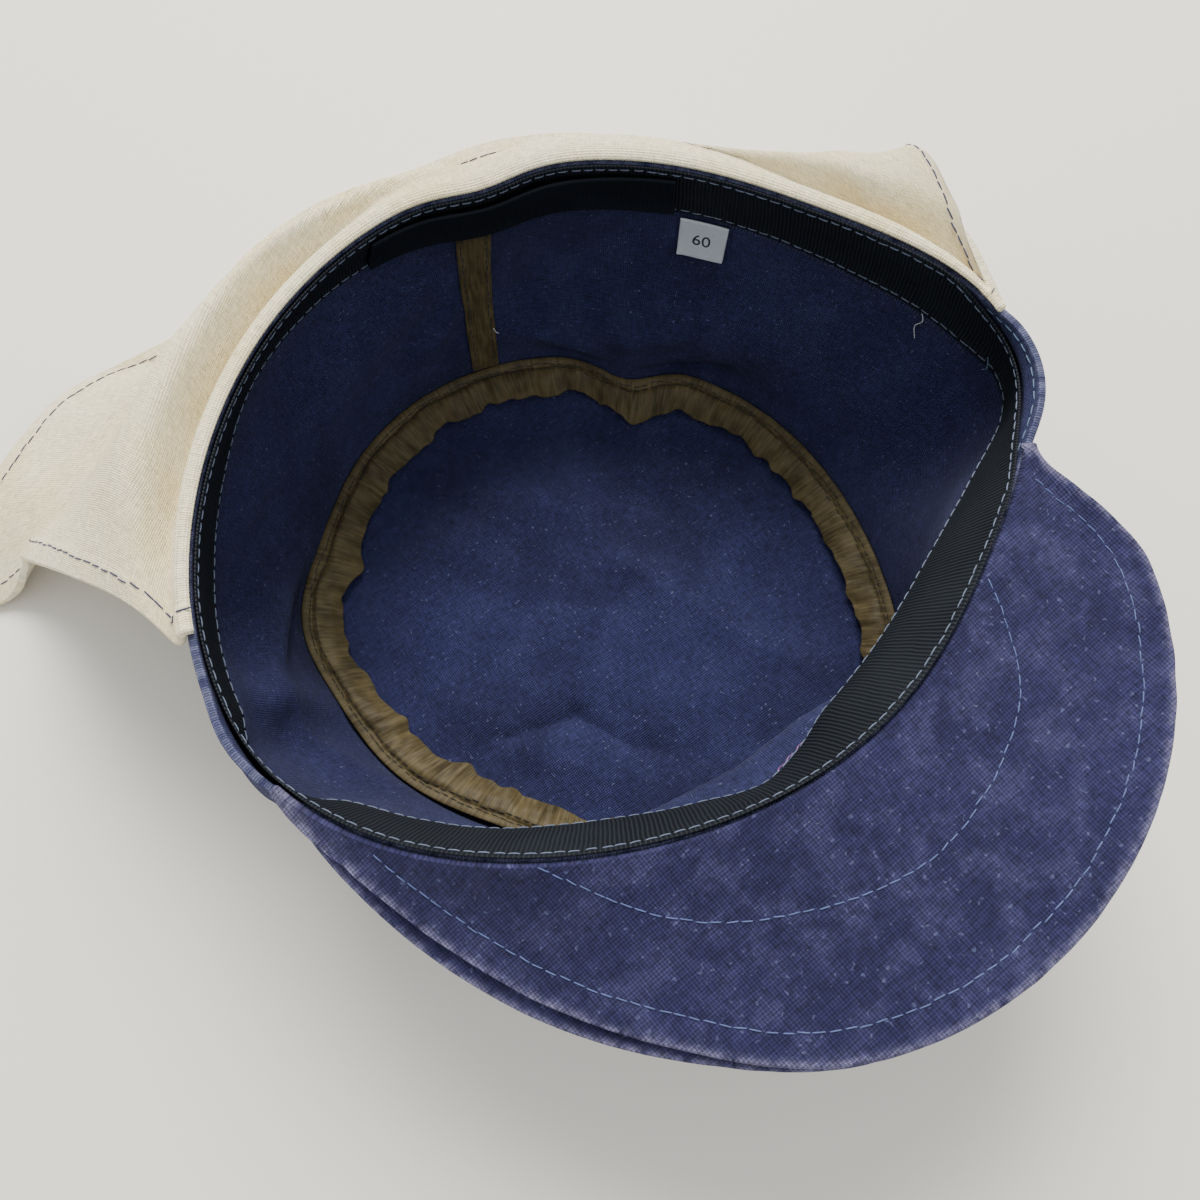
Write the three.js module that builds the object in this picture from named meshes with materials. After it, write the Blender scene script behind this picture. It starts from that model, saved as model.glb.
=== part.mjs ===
import * as THREE from 'three';

// Soft work cap with a neck flap, lying upside down on its top panel.
// Millimetres. The peak points to -Y, the back seam is at +Y, z = 0 is under the top panel.
// Places and angles are from the middle of the crown, in degrees from +X towards +Y. Then the whole hat is
// moved so that the origin is on the ground under the middle of its overall size.

const clothThick = 1.6;
const peakThick = 1.8;
const flapThick = 1.3;
const ribbonThick = 1.0;
const tapeThick = 1.0;
const labelThick = 1.0;
const pieceGap = 0.35;

const rimHeight = 91;
const panelLift = 1.2;
const bandWidth = 25;
const bandGap = 0.6;
const bandFootShare = 0.28;
const wallColumns = 64;

// Opening of the crown: a rounded oval, pushed out or in round the rows below.
const rimRadius = 97.7;
const rimDents = [
  { at: 0, spread: 24, out: 19.5 },
  { at: -97, spread: 76, out: -20 },
  { at: -168, spread: 34, out: 9 },
  { at: 84, spread: 8, out: -3.5 },
];

const rimDips = [{ at: -2, spread: 32, out: -3.5 }];

// Seam between the wall and the top panel.
const seamRadius = 82.6;
const seamDents = [
  { at: -51, spread: 31, out: 10.5 },
  { at: 59, spread: 9, out: -7 },
  { at: -137, spread: 27, out: -10 },
  { at: 115, spread: 44, out: 10 },
  { at: 157, spread: 14, out: 6 },
];

// How far the foot of the sweatband leans in from the rim.
const bandLeans = [
  { at: -180, in: -1.7 }, { at: -175, in: -3.9 }, { at: -168, in: -4.2 }, { at: -164, in: -1.5 },
  { at: -159, in: 4.5 }, { at: -151, in: 7 }, { at: -139, in: 8 }, { at: -117, in: 8.6 },
  { at: -97, in: 6.9 }, { at: -84, in: 4.8 }, { at: -74, in: 7.6 }, { at: -64, in: 11 },
  { at: -38, in: 10.7 }, { at: -22, in: 8.8 }, { at: -14, in: 4.6 }, { at: -6, in: -4 },
  { at: 0, in: -5.6 }, { at: 6, in: -3.2 }, { at: 20, in: -3.4 }, { at: 34, in: -5 },
  { at: 60, in: -6 }, { at: 90, in: -7.5 }, { at: 112, in: -9.2 }, { at: 129, in: -9 },
  { at: 141, in: -6.4 }, { at: 155, in: -4.1 }, { at: 167, in: -2.8 }, { at: 180, in: -1.7 },
];

// Folds and buckles of the wall; height is the share of the way down from rim to seam.
const wallFolds = [
  { at: -82, spread: 27, height: 0.47, tilt: 0, depth: 0.15, out: -13 },
  { at: 52, spread: 27, height: 0.72, tilt: 0.04, depth: 0.1, out: -7 },
  { at: 50, spread: 25, height: 0.9, tilt: 0.02, depth: 0.05, out: 3 },
  { at: 160, spread: 26, height: 0.5, tilt: 0.1, depth: 0.16, out: 5 },
  { at: 160, spread: 15, height: 0.72, tilt: -0.12, depth: 0.08, out: -6 },
  { at: -100, spread: 50, height: 0.8, tilt: 0, depth: 0.16, out: 5 },
  { at: 112, spread: 20, height: 0.62, tilt: 0.12, depth: 0.1, out: -3 },
  { at: 14, spread: 16, height: 0.6, tilt: -0.1, depth: 0.12, out: -4 },
];

// Folds fade in below the sweatband, between these shares of the way down.
const foldFade = { from: 0.29, to: 0.42 };

// The wall's top edge turns outwards here, down to this share.
const flareFoot = 0.06;
const rimFlares = [
  { at: -6, spread: 9, out: 3 },
  { at: -173, spread: 6, out: 1.5 },
];

// How far the wall's top edge stays below the rim, where the peak or the flap passes over it.
const rimTrims = [
  { at: -180, down: 0 }, { at: -174, down: 0.2 }, { at: -166, down: 3.4 }, { at: -120, down: 3.4 },
  { at: -100, down: 2.4 }, { at: -30, down: 2.4 }, { at: -15, down: 3 }, { at: -10, down: 0.2 },
  { at: -4, down: 0 }, { at: 0, down: 0.1 }, { at: 4, down: 1.9 }, { at: 12, down: 1.9 },
  { at: 22, down: 1.2 }, { at: 166, down: 1.2 }, { at: 172, down: 0.1 }, { at: 180, down: 0 },
];

// Where the sweatband starts, as a share of its own depth below the rim.
const bandStarts = [
  { at: -180, down: 0.05 }, { at: -172, down: 0.06 }, { at: -164, down: 0 }, { at: -24, down: 0 },
  { at: -12, down: 0.16 }, { at: -2, down: 0.2 }, { at: 5, down: 0.12 }, { at: 12, down: 0 },
  { at: 166, down: 0 }, { at: 174, down: 0.04 }, { at: 180, down: 0.05 },
];

// Relief of the top panel: a low dome with straight ridges (up) and furrows (down) between two places.
// It fades out towards the seam, and the panel lies flat on a band all round before it turns up.
const reliefFade = { from: 0.62, to: 0.82 };
const restBand = { from: 0.82, to: 0.92 };
const panelDome = { x: -18, y: -2, spread: 48, up: 5 };
const panelCreases = [
  { fromX: -60, fromY: 40, toX: 0, toY: 40, width: 14, up: 3.2 },
  { fromX: 0, fromY: 40, toX: 12, toY: 8, width: 14, up: 3.2 },
  { fromX: 12, fromY: 8, toX: 48, toY: -44, width: 12, up: 3.4 },
  { fromX: 30, fromY: 34, toX: 52, toY: -8, width: 9, up: -3 },
  { fromX: -44, fromY: -22, toX: -22, toY: -25, width: 6, up: -2.6 },
  { fromX: -22, fromY: -25, toX: 2, toY: -58, width: 6, up: -3 },
];

// Peak: how far it reaches past the rim and how high its outer edge stands.
const peakRows = [
  { at: -167, reach: 0, edgeHeight: 88.4 },
  { at: -160, reach: 4, edgeHeight: 86 },
  { at: -148, reach: 11, edgeHeight: 82 },
  { at: -136, reach: 21.6, edgeHeight: 76 },
  { at: -122, reach: 33.6, edgeHeight: 74 },
  { at: -107, reach: 44.6, edgeHeight: 78 },
  { at: -92, reach: 54.6, edgeHeight: 84 },
  { at: -74, reach: 58.6, edgeHeight: 87 },
  { at: -56, reach: 55.6, edgeHeight: 87 },
  { at: -43, reach: 48.6, edgeHeight: 86 },
  { at: -31, reach: 35.6, edgeHeight: 86 },
  { at: -24, reach: 20, edgeHeight: 86 },
  { at: -19, reach: 6, edgeHeight: 86 },
  { at: -15, reach: 0, edgeHeight: 86.5 },
];
// The under cloth shows here; it starts over the wall's trimmed edge and the outer one outside the wall.
const peakUnder = { start: -165, end: -16, inner: -0.7, side: 1 };
const peakOuter = { start: -158, end: -21, inner: 2.1, side: -1 };
const peakOverhang = 0.9;
const peakSag = 2.5;
const peakSplit = (peakThick + pieceGap) / 2;

// Neck flap. Heading is the way the cloth hangs from its seam, and swing turns the part that lies down.
// Lip is the fullness of the rolled strip beside the rim, and drop the depth of the crease behind it.
// Crest, knee, foot and ruck are distances out along the cloth's way, each with its own height; the rest
// of the length lies flat beyond the ruck.
const flapStart = 3;
const flapEnd = 171.5;
const flapHemHeight = 1.1;
const flapInner = -0.7;
const lipOut = 2.6;
const lipUp = 1.2;
const creaseOut = 6;
const lyingRun = 80;
const flapColumns = ['at', 'length', 'heading', 'swing', 'lip', 'drop', 'crest', 'crestUp', 'knee', 'kneeUp',
  'foot', 'footUp', 'ruck', 'ruckUp'];
const flapRows = [
  [3, 158, 83, 0, 0.15, 0, 30, 90, 51.5, 85, 60, 14, 12, 12],
  [12, 160, 80, 0, 0.6, 3, 22, 90.5, 37, 86, 46, 12, 12, 14],
  [22, 164, 75, 0, 1, 4.5, 16, 90.5, 26, 85, 36, 10, 12, 16],
  [34, 168, 68, 0, 1, 3.5, 12, 90, 17, 84, 28, 8, 12, 18],
  [48, 172, 68, 0, 1, 1.5, 8.5, 90, 11.5, 80, 21, 6, 13, 20],
  [62, 174, 76, 0, 1, 0.5, 7.5, 90, 11, 76, 20, 6, 13, 20],
  [90, 176, 95, 0, 1, 0.5, 9.5, 90.5, 14, 72, 22, 6, 13, 22],
  [104, 176, 104, 12, 1, 3, 11, 91, 17, 70, 26, 7, 14, 21],
  [115, 176, 110, 25, 1, 6, 13, 91.5, 23.5, 62, 31.5, 8, 15, 20],
  [135, 175, 122, 20, 1, 8.5, 15, 91, 33, 62, 46.5, 14, 30, 12],
  [152, 174, 127, 30, 1, 8, 17, 89.5, 44, 60, 63, 16, 30, 9],
  [171.5, 172, 128, 45, 0.7, 3.5, 20, 84, 62, 60, 86, 22, 14, 4],
].map((row) => Object.fromEntries(flapColumns.map((column, k) => [column, row[k]])));

const radians = (angle) => (angle * Math.PI) / 180;
const lerp = THREE.MathUtils.lerp;

function angleBetween(a, b) {
  return THREE.MathUtils.euclideanModulo(a - b + 180, 360) - 180;
}

function withDents(base, dents, angle) {
  return dents.reduce((sum, dent) => {
    const apart = angleBetween(angle, dent.at) / dent.spread;
    return sum + dent.out * Math.exp(-apart * apart);
  }, base);
}

// Smooth curve through the values of one column, against the "at" column.
function alongRows(rows, column, at) {
  const last = rows.length - 1;
  let k = 0;
  while (k < last - 1 && at > rows[k + 1].at) {
    k += 1;
  }
  const before = rows[Math.max(k - 1, 0)];
  const from = rows[k];
  const to = rows[k + 1];
  const after = rows[Math.min(k + 2, last)];
  const span = to.at - from.at;
  const share = THREE.MathUtils.clamp((at - from.at) / span, 0, 1);
  const slopeFrom = ((to[column] - before[column]) / (to.at - before.at)) * span;
  const slopeTo = ((after[column] - from[column]) / (after.at - from.at)) * span;
  const s2 = share * share;
  const s3 = s2 * share;
  return (2 * s3 - 3 * s2 + 1) * from[column] + (s3 - 2 * s2 + share) * slopeFrom
    + (3 * s2 - 2 * s3) * to[column] + (s3 - s2) * slopeTo;
}

function atAngle(angle, radius, z) {
  return new THREE.Vector3(radius * Math.cos(radians(angle)), radius * Math.sin(radians(angle)), z);
}

const rimAt = (angle) => withDents(rimRadius, rimDents, angle);
const rimUp = (angle) => withDents(rimHeight, rimDips, angle);
const seamAt = (angle) => withDents(seamRadius, seamDents, angle);

// Middle of the wall cloth; share runs from 0 at the rim to 1 at the seam.
function wallLine(angle) {
  const lean = alongRows(bandLeans, 'in', angleBetween(angle, 0));
  const bandFoot = rimUp(angle) - Math.sqrt(bandWidth * bandWidth - lean * lean);
  const seamTop = panelLift + clothThick + pieceGap;
  const rim = rimAt(angle);
  const seam = seamAt(angle);
  return new THREE.CatmullRomCurve3([
    new THREE.Vector3(rim, 0, rimUp(angle)),
    new THREE.Vector3(rim - lean, 0, bandFoot),
    new THREE.Vector3(lerp(rim - lean, seam, 0.5) + 2.5, 0, lerp(bandFoot, seamTop, 0.5)),
    new THREE.Vector3(seam + 0.5, 0, seamTop + 6),
    new THREE.Vector3(seam, 0, seamTop),
  ], false, 'centripetal');
}

function wallPoint(angle, share) {
  const spot = wallLine(angle).getPointAt(share);
  const folds = wallFolds.reduce((sum, fold) => {
    const apart = angleBetween(angle, fold.at) / fold.spread;
    const away = (share - fold.height - fold.tilt * apart) / fold.depth;
    return sum + fold.out * Math.exp(-apart * apart - away * away);
  }, 0);
  const belowBand = THREE.MathUtils.smoothstep(share, foldFade.from, foldFade.to);
  return atAngle(angle, spot.x + folds * belowBand, spot.z);
}

// Point moved off a surface along its normal; positive is away from the middle of the hat.
function offWall(angle, share, off) {
  const step = 0.01;
  const here = wallPoint(angle, share);
  const across = wallPoint(angle + 1, share).sub(wallPoint(angle - 1, share));
  const down = wallPoint(angle, Math.min(share + step, 1)).sub(wallPoint(angle, Math.max(share - step, 0)));
  return here.addScaledVector(down.cross(across).normalize(), off);
}

// Grid of points moved along the grid's own normals.
function shifted(grid, off, loop) {
  const rows = grid.length;
  const columns = grid[0].length;
  return grid.map((line, i) => line.map((spot, j) => {
    const up = grid[Math.max(i - 1, 0)][j];
    const down = grid[Math.min(i + 1, rows - 1)][j];
    const left = line[loop ? (j + columns - 1) % columns : Math.max(j - 1, 0)];
    const right = line[loop ? (j + 1) % columns : Math.min(j + 1, columns - 1)];
    const normal = right.clone().sub(left).cross(down.clone().sub(up)).normalize();
    return spot.clone().addScaledVector(normal, off);
  }));
}

// Closed sheet of even thickness about a grid of middle points.
function sheet(grid, thickness, loop) {
  const rows = grid.length;
  const columns = grid[0].length;
  const spots = [...shifted(grid, thickness / 2, loop).flat(), ...shifted(grid, -thickness / 2, loop).flat()];
  const other = rows * columns;
  const faces = [];
  const quad = (a, b, c, d) => faces.push(a, b, c, a, c, d);
  const wrap = loop ? columns : columns - 1;
  for (let i = 0; i < rows - 1; i += 1) {
    for (let j = 0; j < wrap; j += 1) {
      const a = i * columns + j;
      const b = i * columns + ((j + 1) % columns);
      const c = b + columns;
      const d = a + columns;
      quad(a, b, c, d);
      quad(other + a, other + d, other + c, other + b);
    }
  }
  for (let j = 0; j < wrap; j += 1) {
    const next = (j + 1) % columns;
    const foot = (rows - 1) * columns;
    quad(next, j, other + j, other + next);
    quad(foot + j, foot + next, other + foot + next, other + foot + j);
  }
  if (!loop) {
    for (let i = 0; i < rows - 1; i += 1) {
      const a = i * columns;
      const b = a + columns - 1;
      quad(a, a + columns, other + a + columns, other + a);
      quad(b + columns, b, other + b, other + b + columns);
    }
  }
  return solid(spots, faces);
}

function solid(spots, faces) {
  const geometry = new THREE.BufferGeometry();
  geometry.setAttribute('position', new THREE.Float32BufferAttribute(spots.flatMap((p) => p.toArray()), 3));
  geometry.setIndex(faces);
  geometry.computeVertexNormals();
  return geometry;
}

function steps(from, to, count) {
  return Array.from({ length: count + 1 }, (unused, k) => lerp(from, to, k / count));
}

const roundTurn = Array.from({ length: wallColumns }, (unused, k) => (360 * k) / wallColumns);

function crownSide() {
  const shares = [0, flareFoot, 0.14, 0.22, 0.31, 0.42, 0.52, 0.62, 0.72, 0.82, 0.91, 1];
  const columns = roundTurn.map((angle) => {
    const down = Math.max(alongRows(rimTrims, 'down', angleBetween(angle, 0)), 0);
    const trim = down / wallLine(angle).getLength();
    const flare = atAngle(angle, withDents(0, rimFlares, angle), 0);
    return shares.map((share) => {
      const flared = 1 - THREE.MathUtils.smoothstep(share, 0, flareFoot);
      return wallPoint(angle, lerp(trim, 1, share)).addScaledVector(flare, flared);
    });
  });
  return sheet(shares.map((unused, i) => columns.map((column) => column[i])), clothThick, true);
}

function creaseHeight(crease, x, y) {
  const line = new THREE.Line3(new THREE.Vector3(crease.fromX, crease.fromY, 0),
    new THREE.Vector3(crease.toX, crease.toY, 0));
  const spot = new THREE.Vector3(x, y, 0);
  const nearest = line.closestPointToPoint(spot, true, new THREE.Vector3());
  return crease.up * Math.exp(-nearest.distanceTo(spot) / crease.width);
}

function panelUp(x, y) {
  const apart = ((x - panelDome.x) ** 2 + (y - panelDome.y) ** 2) / panelDome.spread ** 2;
  const relief = panelCreases.reduce((sum, crease) => sum + creaseHeight(crease, x, y),
    panelDome.up * Math.exp(-(apart ** 1.5)));
  return Math.max(relief, 0);
}

function crownTop() {
  const rings = [0.26, 0.42, 0.57, 0.7, restBand.from, restBand.to, 1];
  const upper = [];
  const lower = [];
  for (const share of rings) {
    for (const angle of roundTurn) {
      const edge = seamAt(angle) + clothThick / 2;
      const spot = atAngle(angle, edge * share, 0);
      const hush = 1 - THREE.MathUtils.smoothstep(share, reliefFade.from, reliefFade.to);
      const turnUp = panelLift * THREE.MathUtils.smoothstep(share, restBand.to, 1);
      spot.z = panelUp(spot.x, spot.y) * hush + turnUp;
      lower.push(spot.clone());
      spot.z += clothThick;
      upper.push(spot);
    }
  }
  const count = rings.length * wallColumns;
  const middle = new THREE.Vector3(0, 0, panelUp(0, 0));
  const spots = [...upper, ...lower, middle.clone().setZ(middle.z + clothThick), middle];
  const middleTop = 2 * count;
  const faces = [];
  for (let j = 0; j < wallColumns; j += 1) {
    const next = (j + 1) % wallColumns;
    faces.push(middleTop, j, next, middleTop + 1, count + next, count + j);
    for (let i = 0; i < rings.length - 1; i += 1) {
      const a = i * wallColumns + j;
      const b = i * wallColumns + next;
      const c = b + wallColumns;
      const d = a + wallColumns;
      faces.push(a, d, c, a, c, b, count + a, count + c, count + d, count + a, count + b, count + c);
    }
    const edge = (rings.length - 1) * wallColumns;
    faces.push(edge + j, count + edge + j, count + edge + next, edge + j, count + edge + next, edge + next);
  }
  return solid(spots, faces);
}

function sweatband() {
  const off = -(clothThick / 2 + bandGap + ribbonThick / 2);
  return sheet([0, 0.34, 0.67, 1].map((down) => roundTurn.map((angle) => {
    const start = Math.max(alongRows(bandStarts, 'down', angleBetween(angle, 0)), 0);
    return offWall(angle, bandFootShare * lerp(start, 1, down), off);
  })), ribbonThick, true);
}

const elastic = { start: 53, end: 103, slack: 1.2 };

function backElastic() {
  const near = clothThick / 2 + bandGap + ribbonThick + pieceGap + tapeThick / 2;
  const angles = steps(elastic.start, elastic.end, 20);
  const rows = [0.035, 0.15, 0.275].map((share) => angles.map((angle) => {
    const along = (angle - elastic.start) / (elastic.end - elastic.start);
    return offWall(angle, share, -near - elastic.slack * Math.sin(Math.PI * along));
  }));
  return sheet(rows, tapeThick, false);
}

const backTape = { topAngle: 85.5, footAngle: 89.5, width: 8.5, top: 0.29, foot: 0.925 };

function backSeamTape() {
  const off = -(clothThick / 2 + pieceGap + tapeThick / 2);
  const rows = steps(0, 1, 12).map((down) => {
    const share = lerp(backTape.top, backTape.foot, down);
    const middle = lerp(backTape.topAngle, backTape.footAngle, down);
    const turn = THREE.MathUtils.radToDeg(backTape.width / 2 / seamAt(middle));
    return steps(middle - turn, middle + turn, 2).map((angle) => offWall(angle, share, off));
  });
  return sheet(rows, tapeThick, false);
}

const ringTape = {
  columns: 84, outerIn: 1.7, outerUp: 9, innerIn: 12, innerUp: 5, arch: 1.2, puckers: 24, pucker: 0.7,
};

function ringBinding() {
  const angles = steps(0, 360, ringTape.columns).slice(0, -1);
  const rows = [0, 0.5, 1].map((across) => angles.map((angle) => {
    const inward = lerp(ringTape.outerIn, ringTape.innerIn, across);
    const wave = Math.cos(radians(angle * ringTape.puckers)) * ringTape.pucker * across;
    const arch = Math.sin(Math.PI * across) * ringTape.arch;
    const up = lerp(ringTape.outerUp, ringTape.innerUp, across) + wave + arch;
    return atAngle(angle, seamAt(angle) - inward, up);
  }));
  return sheet(rows, tapeThick, true);
}

const label = { from: 44, to: 52, top: 0.3, foot: 0.45, standOff: 1 };

function sizeLabel() {
  const off = -(clothThick / 2 + label.standOff + labelThick / 2);
  const angles = steps(label.from, label.to, 3);
  const shares = steps(label.top, label.foot, 3);
  return sheet(shares.map((share) => angles.map((angle) => offWall(angle, share, off))), labelThick, false);
}

// Surface between the two peak cloths; out runs from 0 at the layer's inner edge to 1 at the peak's edge.
function peakPoint(layer, angle, share) {
  const reach = alongRows(peakRows, 'reach', angle);
  const edgeHeight = alongRows(peakRows, 'edgeHeight', angle);
  const whole = peakOverhang + reach - peakUnder.inner;
  const out = lerp((layer.inner - peakUnder.inner) / whole, 1, share);
  const sag = peakSag * Math.sin(Math.PI * out) * Math.min(reach / 20, 1);
  const height = lerp(rimUp(angle) - peakThick, edgeHeight, out) - sag;
  return atAngle(angle, rimAt(angle) + peakUnder.inner + whole * out, height);
}

function peakLayer(layer) {
  const angles = steps(layer.start, layer.end, 40);
  const rows = steps(0, 1, 5).map((share) => angles.map((angle) => peakPoint(layer, angle, share)));
  return sheet(shifted(rows, -layer.side * peakSplit, false), peakThick, false);
}

// One hanging line of the flap, from its seam to its hem.
function flapLine(angle) {
  const row = (column) => alongRows(flapRows, column, angle);
  const start = atAngle(angle, rimAt(angle) + flapInner, 0);
  const outward = atAngle(angle, 1, 0);
  const hang = atAngle(row('heading'), 1, 0);
  const trail = atAngle(row('heading') + row('swing'), 1, 0);
  const place = (out, up, way = hang) => start.clone().addScaledVector(way, out).setZ(up);
  const trailing = (out, up) => place(row('foot'), 0).addScaledVector(trail, out).setZ(up);
  const line = new THREE.CatmullRomCurve3([
    place(0, rimUp(angle) + 0.2),
    place(lipOut * row('lip'), rimUp(angle) + lipUp, outward),
    place(creaseOut * row('lip'), rimUp(angle) - row('drop'), outward),
    place(row('crest'), row('crestUp')),
    place(row('knee'), row('kneeUp')),
    place(row('foot'), row('footUp')),
    trailing(row('ruck'), row('ruckUp')),
    trailing(row('ruck') * 2, flapHemHeight + 1),
    trailing(row('ruck') * 2 + lyingRun, flapHemHeight),
  ], false, 'centripetal');
  line.arcLengthDivisions = 400;
  const spans = line.points.length - 1;
  const end = line.getUtoTmapping(row('length') / line.getLength());
  const lipStations = [0, 1, 2, 2.5].map((station) => station / spans);
  const stations = [...lipStations, ...steps(3 / spans, (spans - 1) / spans, 2 * (spans - 4))];
  stations.push(lerp(stations.at(-1), end, 0.5), end);
  return stations.map((station) => {
    const spot = line.getPoint(station);
    return spot.setZ(Math.max(spot.z, flapHemHeight));
  });
}

function neckFlap() {
  const lines = steps(flapStart, flapEnd, 40).map(flapLine);
  return sheet(lines[0].map((unused, k) => lines.map((line) => line[k])), flapThick, false);
}

const navy = { color: '#2b3260', roughness: 0.92 };
const fadedNavy = { color: '#3d4377', roughness: 0.92 };
const black = { color: '#191c22', roughness: 0.75 };
const brown = { color: '#5b4a2e', roughness: 0.6 };
const cream = { color: '#d9d3bf', roughness: 0.95 };
const white = { color: '#cfd2d6', roughness: 0.6 };

const hat = new THREE.Group();
hat.name = 'neck_flap_sun_hat';
const aroundCrown = new THREE.Group();
hat.add(aroundCrown);

function add(name, geometry, look) {
  const material = new THREE.MeshStandardMaterial({ ...look, metalness: 0 });
  const piece = new THREE.Mesh(geometry, material);
  piece.name = name;
  aroundCrown.add(piece);
}

add('crown_side', crownSide(), navy);
add('crown_top', crownTop(), navy);
add('peak_under', peakLayer(peakUnder), fadedNavy);
add('peak_outer', peakLayer(peakOuter), fadedNavy);
add('sweatband', sweatband(), black);
add('back_elastic', backElastic(), black);
add('seam_binding_ring', ringBinding(), brown);
add('seam_binding_back', backSeamTape(), brown);
add('size_label', sizeLabel(), white);
add('neck_flap', neckFlap(), cream);

const middle = new THREE.Box3().setFromObject(aroundCrown).getCenter(new THREE.Vector3());
aroundCrown.position.set(-middle.x, -middle.y, 0);

export default hat;
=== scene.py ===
import bpy
import numpy as np
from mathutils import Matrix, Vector


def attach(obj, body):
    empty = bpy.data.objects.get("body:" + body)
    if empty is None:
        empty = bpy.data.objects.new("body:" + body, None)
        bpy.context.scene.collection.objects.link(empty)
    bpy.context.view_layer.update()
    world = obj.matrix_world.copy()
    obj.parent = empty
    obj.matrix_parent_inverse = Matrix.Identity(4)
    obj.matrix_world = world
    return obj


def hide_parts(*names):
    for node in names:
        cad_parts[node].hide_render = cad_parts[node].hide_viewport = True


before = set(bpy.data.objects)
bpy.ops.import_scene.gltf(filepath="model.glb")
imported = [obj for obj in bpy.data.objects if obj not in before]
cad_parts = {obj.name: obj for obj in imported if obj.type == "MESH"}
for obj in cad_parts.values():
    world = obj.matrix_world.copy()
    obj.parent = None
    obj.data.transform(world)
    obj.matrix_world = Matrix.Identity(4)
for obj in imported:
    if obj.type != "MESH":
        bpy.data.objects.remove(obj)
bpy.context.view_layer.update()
bpy.ops.object.select_all(action="DESELECT")
mm = 0.001
print("frame loaded")


# camera, floor and lights; places in metres

shot = {"lens": 34.5, "sensor": 36, "nearest": 0.01,
        "place": (-0.0084, -0.1055, 0.3443), "target": (0.0357, -0.015, 0)}
studio = {
    "floorColour": (0.81, 0.757, 0.668), "floorRoughness": 0.6, "floorSize": 8,
    "skyColour": (0.90, 0.95, 1.0), "skyStrength": 0.95, "lampTarget": (0, 0, 0.03),
    "lamps": {
        "windowLamp": {"place": (0.45, 1.15, 1.5), "size": 1.1, "power": 74, "colour": (1.0, 0.985, 0.955)},
        "frontLamp": {"place": (0.2, -1.1, 1.5), "size": 1.6, "power": 6, "colour": (0.96, 0.98, 1.0)},
    },
}


def aimed(holder, place, target):
    holder.location = place
    holder.rotation_euler = (Vector(target) - Vector(place)).to_track_quat("-Z", "Y").to_euler()
    bpy.context.collection.objects.link(holder)


def makeCamera():
    lens = bpy.data.cameras.new("shotCamera")
    lens.lens = shot["lens"]
    lens.sensor_width = shot["sensor"]
    lens.clip_start = shot["nearest"]
    camera = bpy.data.objects.new("shotCamera", lens)
    aimed(camera, shot["place"], shot["target"])
    bpy.context.scene.camera = camera


def makeStudio():
    bpy.ops.mesh.primitive_plane_add(size=studio["floorSize"])
    floor = bpy.context.object
    floor.name = "studioFloor"
    paint = bpy.data.materials.new("floorPaint")
    paint.use_nodes = True
    shader = paint.node_tree.nodes["Principled BSDF"]
    shader.inputs["Base Color"].default_value = (*studio["floorColour"], 1)
    shader.inputs["Roughness"].default_value = studio["floorRoughness"]
    floor.data.materials.append(paint)
    for name, lamp in studio["lamps"].items():
        light = bpy.data.lights.new(name, "AREA")
        light.size = lamp["size"]
        light.energy = lamp["power"]
        light.color = lamp["colour"]
        aimed(bpy.data.objects.new(name, light), lamp["place"], studio["lampTarget"])
    sky = bpy.data.worlds.new("studioSky")
    sky.use_nodes = True
    glow = sky.node_tree.nodes["Background"]
    glow.inputs["Color"].default_value = (*studio["skyColour"], 1)
    glow.inputs["Strength"].default_value = studio["skyStrength"]
    bpy.context.scene.world = sky


makeCamera()
makeStudio()
print("camera, floor and lamps made")


# curves and noise; from here on places are in mm from the middle of the crown, and angles in degrees

crownMiddle = (35.015, -20.27, 0)  # from the origin, which is under the middle of the whole hat
smallest = 1e-4


# rows of numbers under named columns
def table(columns, *rows):
    return [dict(zip(columns.split(), row)) for row in rows]


def angleApart(a, b):
    return (a - b + 180) % 360 - 180


def withDents(base, dents, angle):
    total = np.full(np.shape(angle), float(base))
    for dent in dents:
        total += dent["out"] * np.exp(-((angleApart(angle, dent["at"]) / dent["spread"]) ** 2))
    return total


# from a to b as s goes from 0 to 1, leaving and arriving at the given slopes
def between(a, b, slopeFrom, slopeTo, s):
    return ((2 * s**3 - 3 * s**2 + 1) * a + (s**3 - 2 * s**2 + s) * slopeFrom
            + (3 * s**2 - 2 * s**3) * b + (s**3 - s**2) * slopeTo)


# a table's column at any angle, smooth between its rows
def alongRows(rows, column, at):
    ats = np.array([row["at"] for row in rows], float)
    values = np.array([row[column] for row in rows], float)
    last = len(rows) - 1
    k = np.clip(np.searchsorted(ats, at) - 1, 0, last - 1)
    before, after = np.maximum(k - 1, 0), np.minimum(k + 2, last)
    span = ats[k + 1] - ats[k]
    s = np.clip((at - ats[k]) / span, 0, 1)
    slopeFrom = (values[k + 1] - values[before]) / (ats[k + 1] - ats[before]) * span
    slopeTo = (values[after] - values[k]) / (ats[after] - ats[k]) * span
    return between(values[k], values[k + 1], slopeFrom, slopeTo, s)


def smoothStep(value, low, high):
    share = np.clip((value - low) / (high - low), 0, 1)
    return share * share * (3 - 2 * share)


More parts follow.
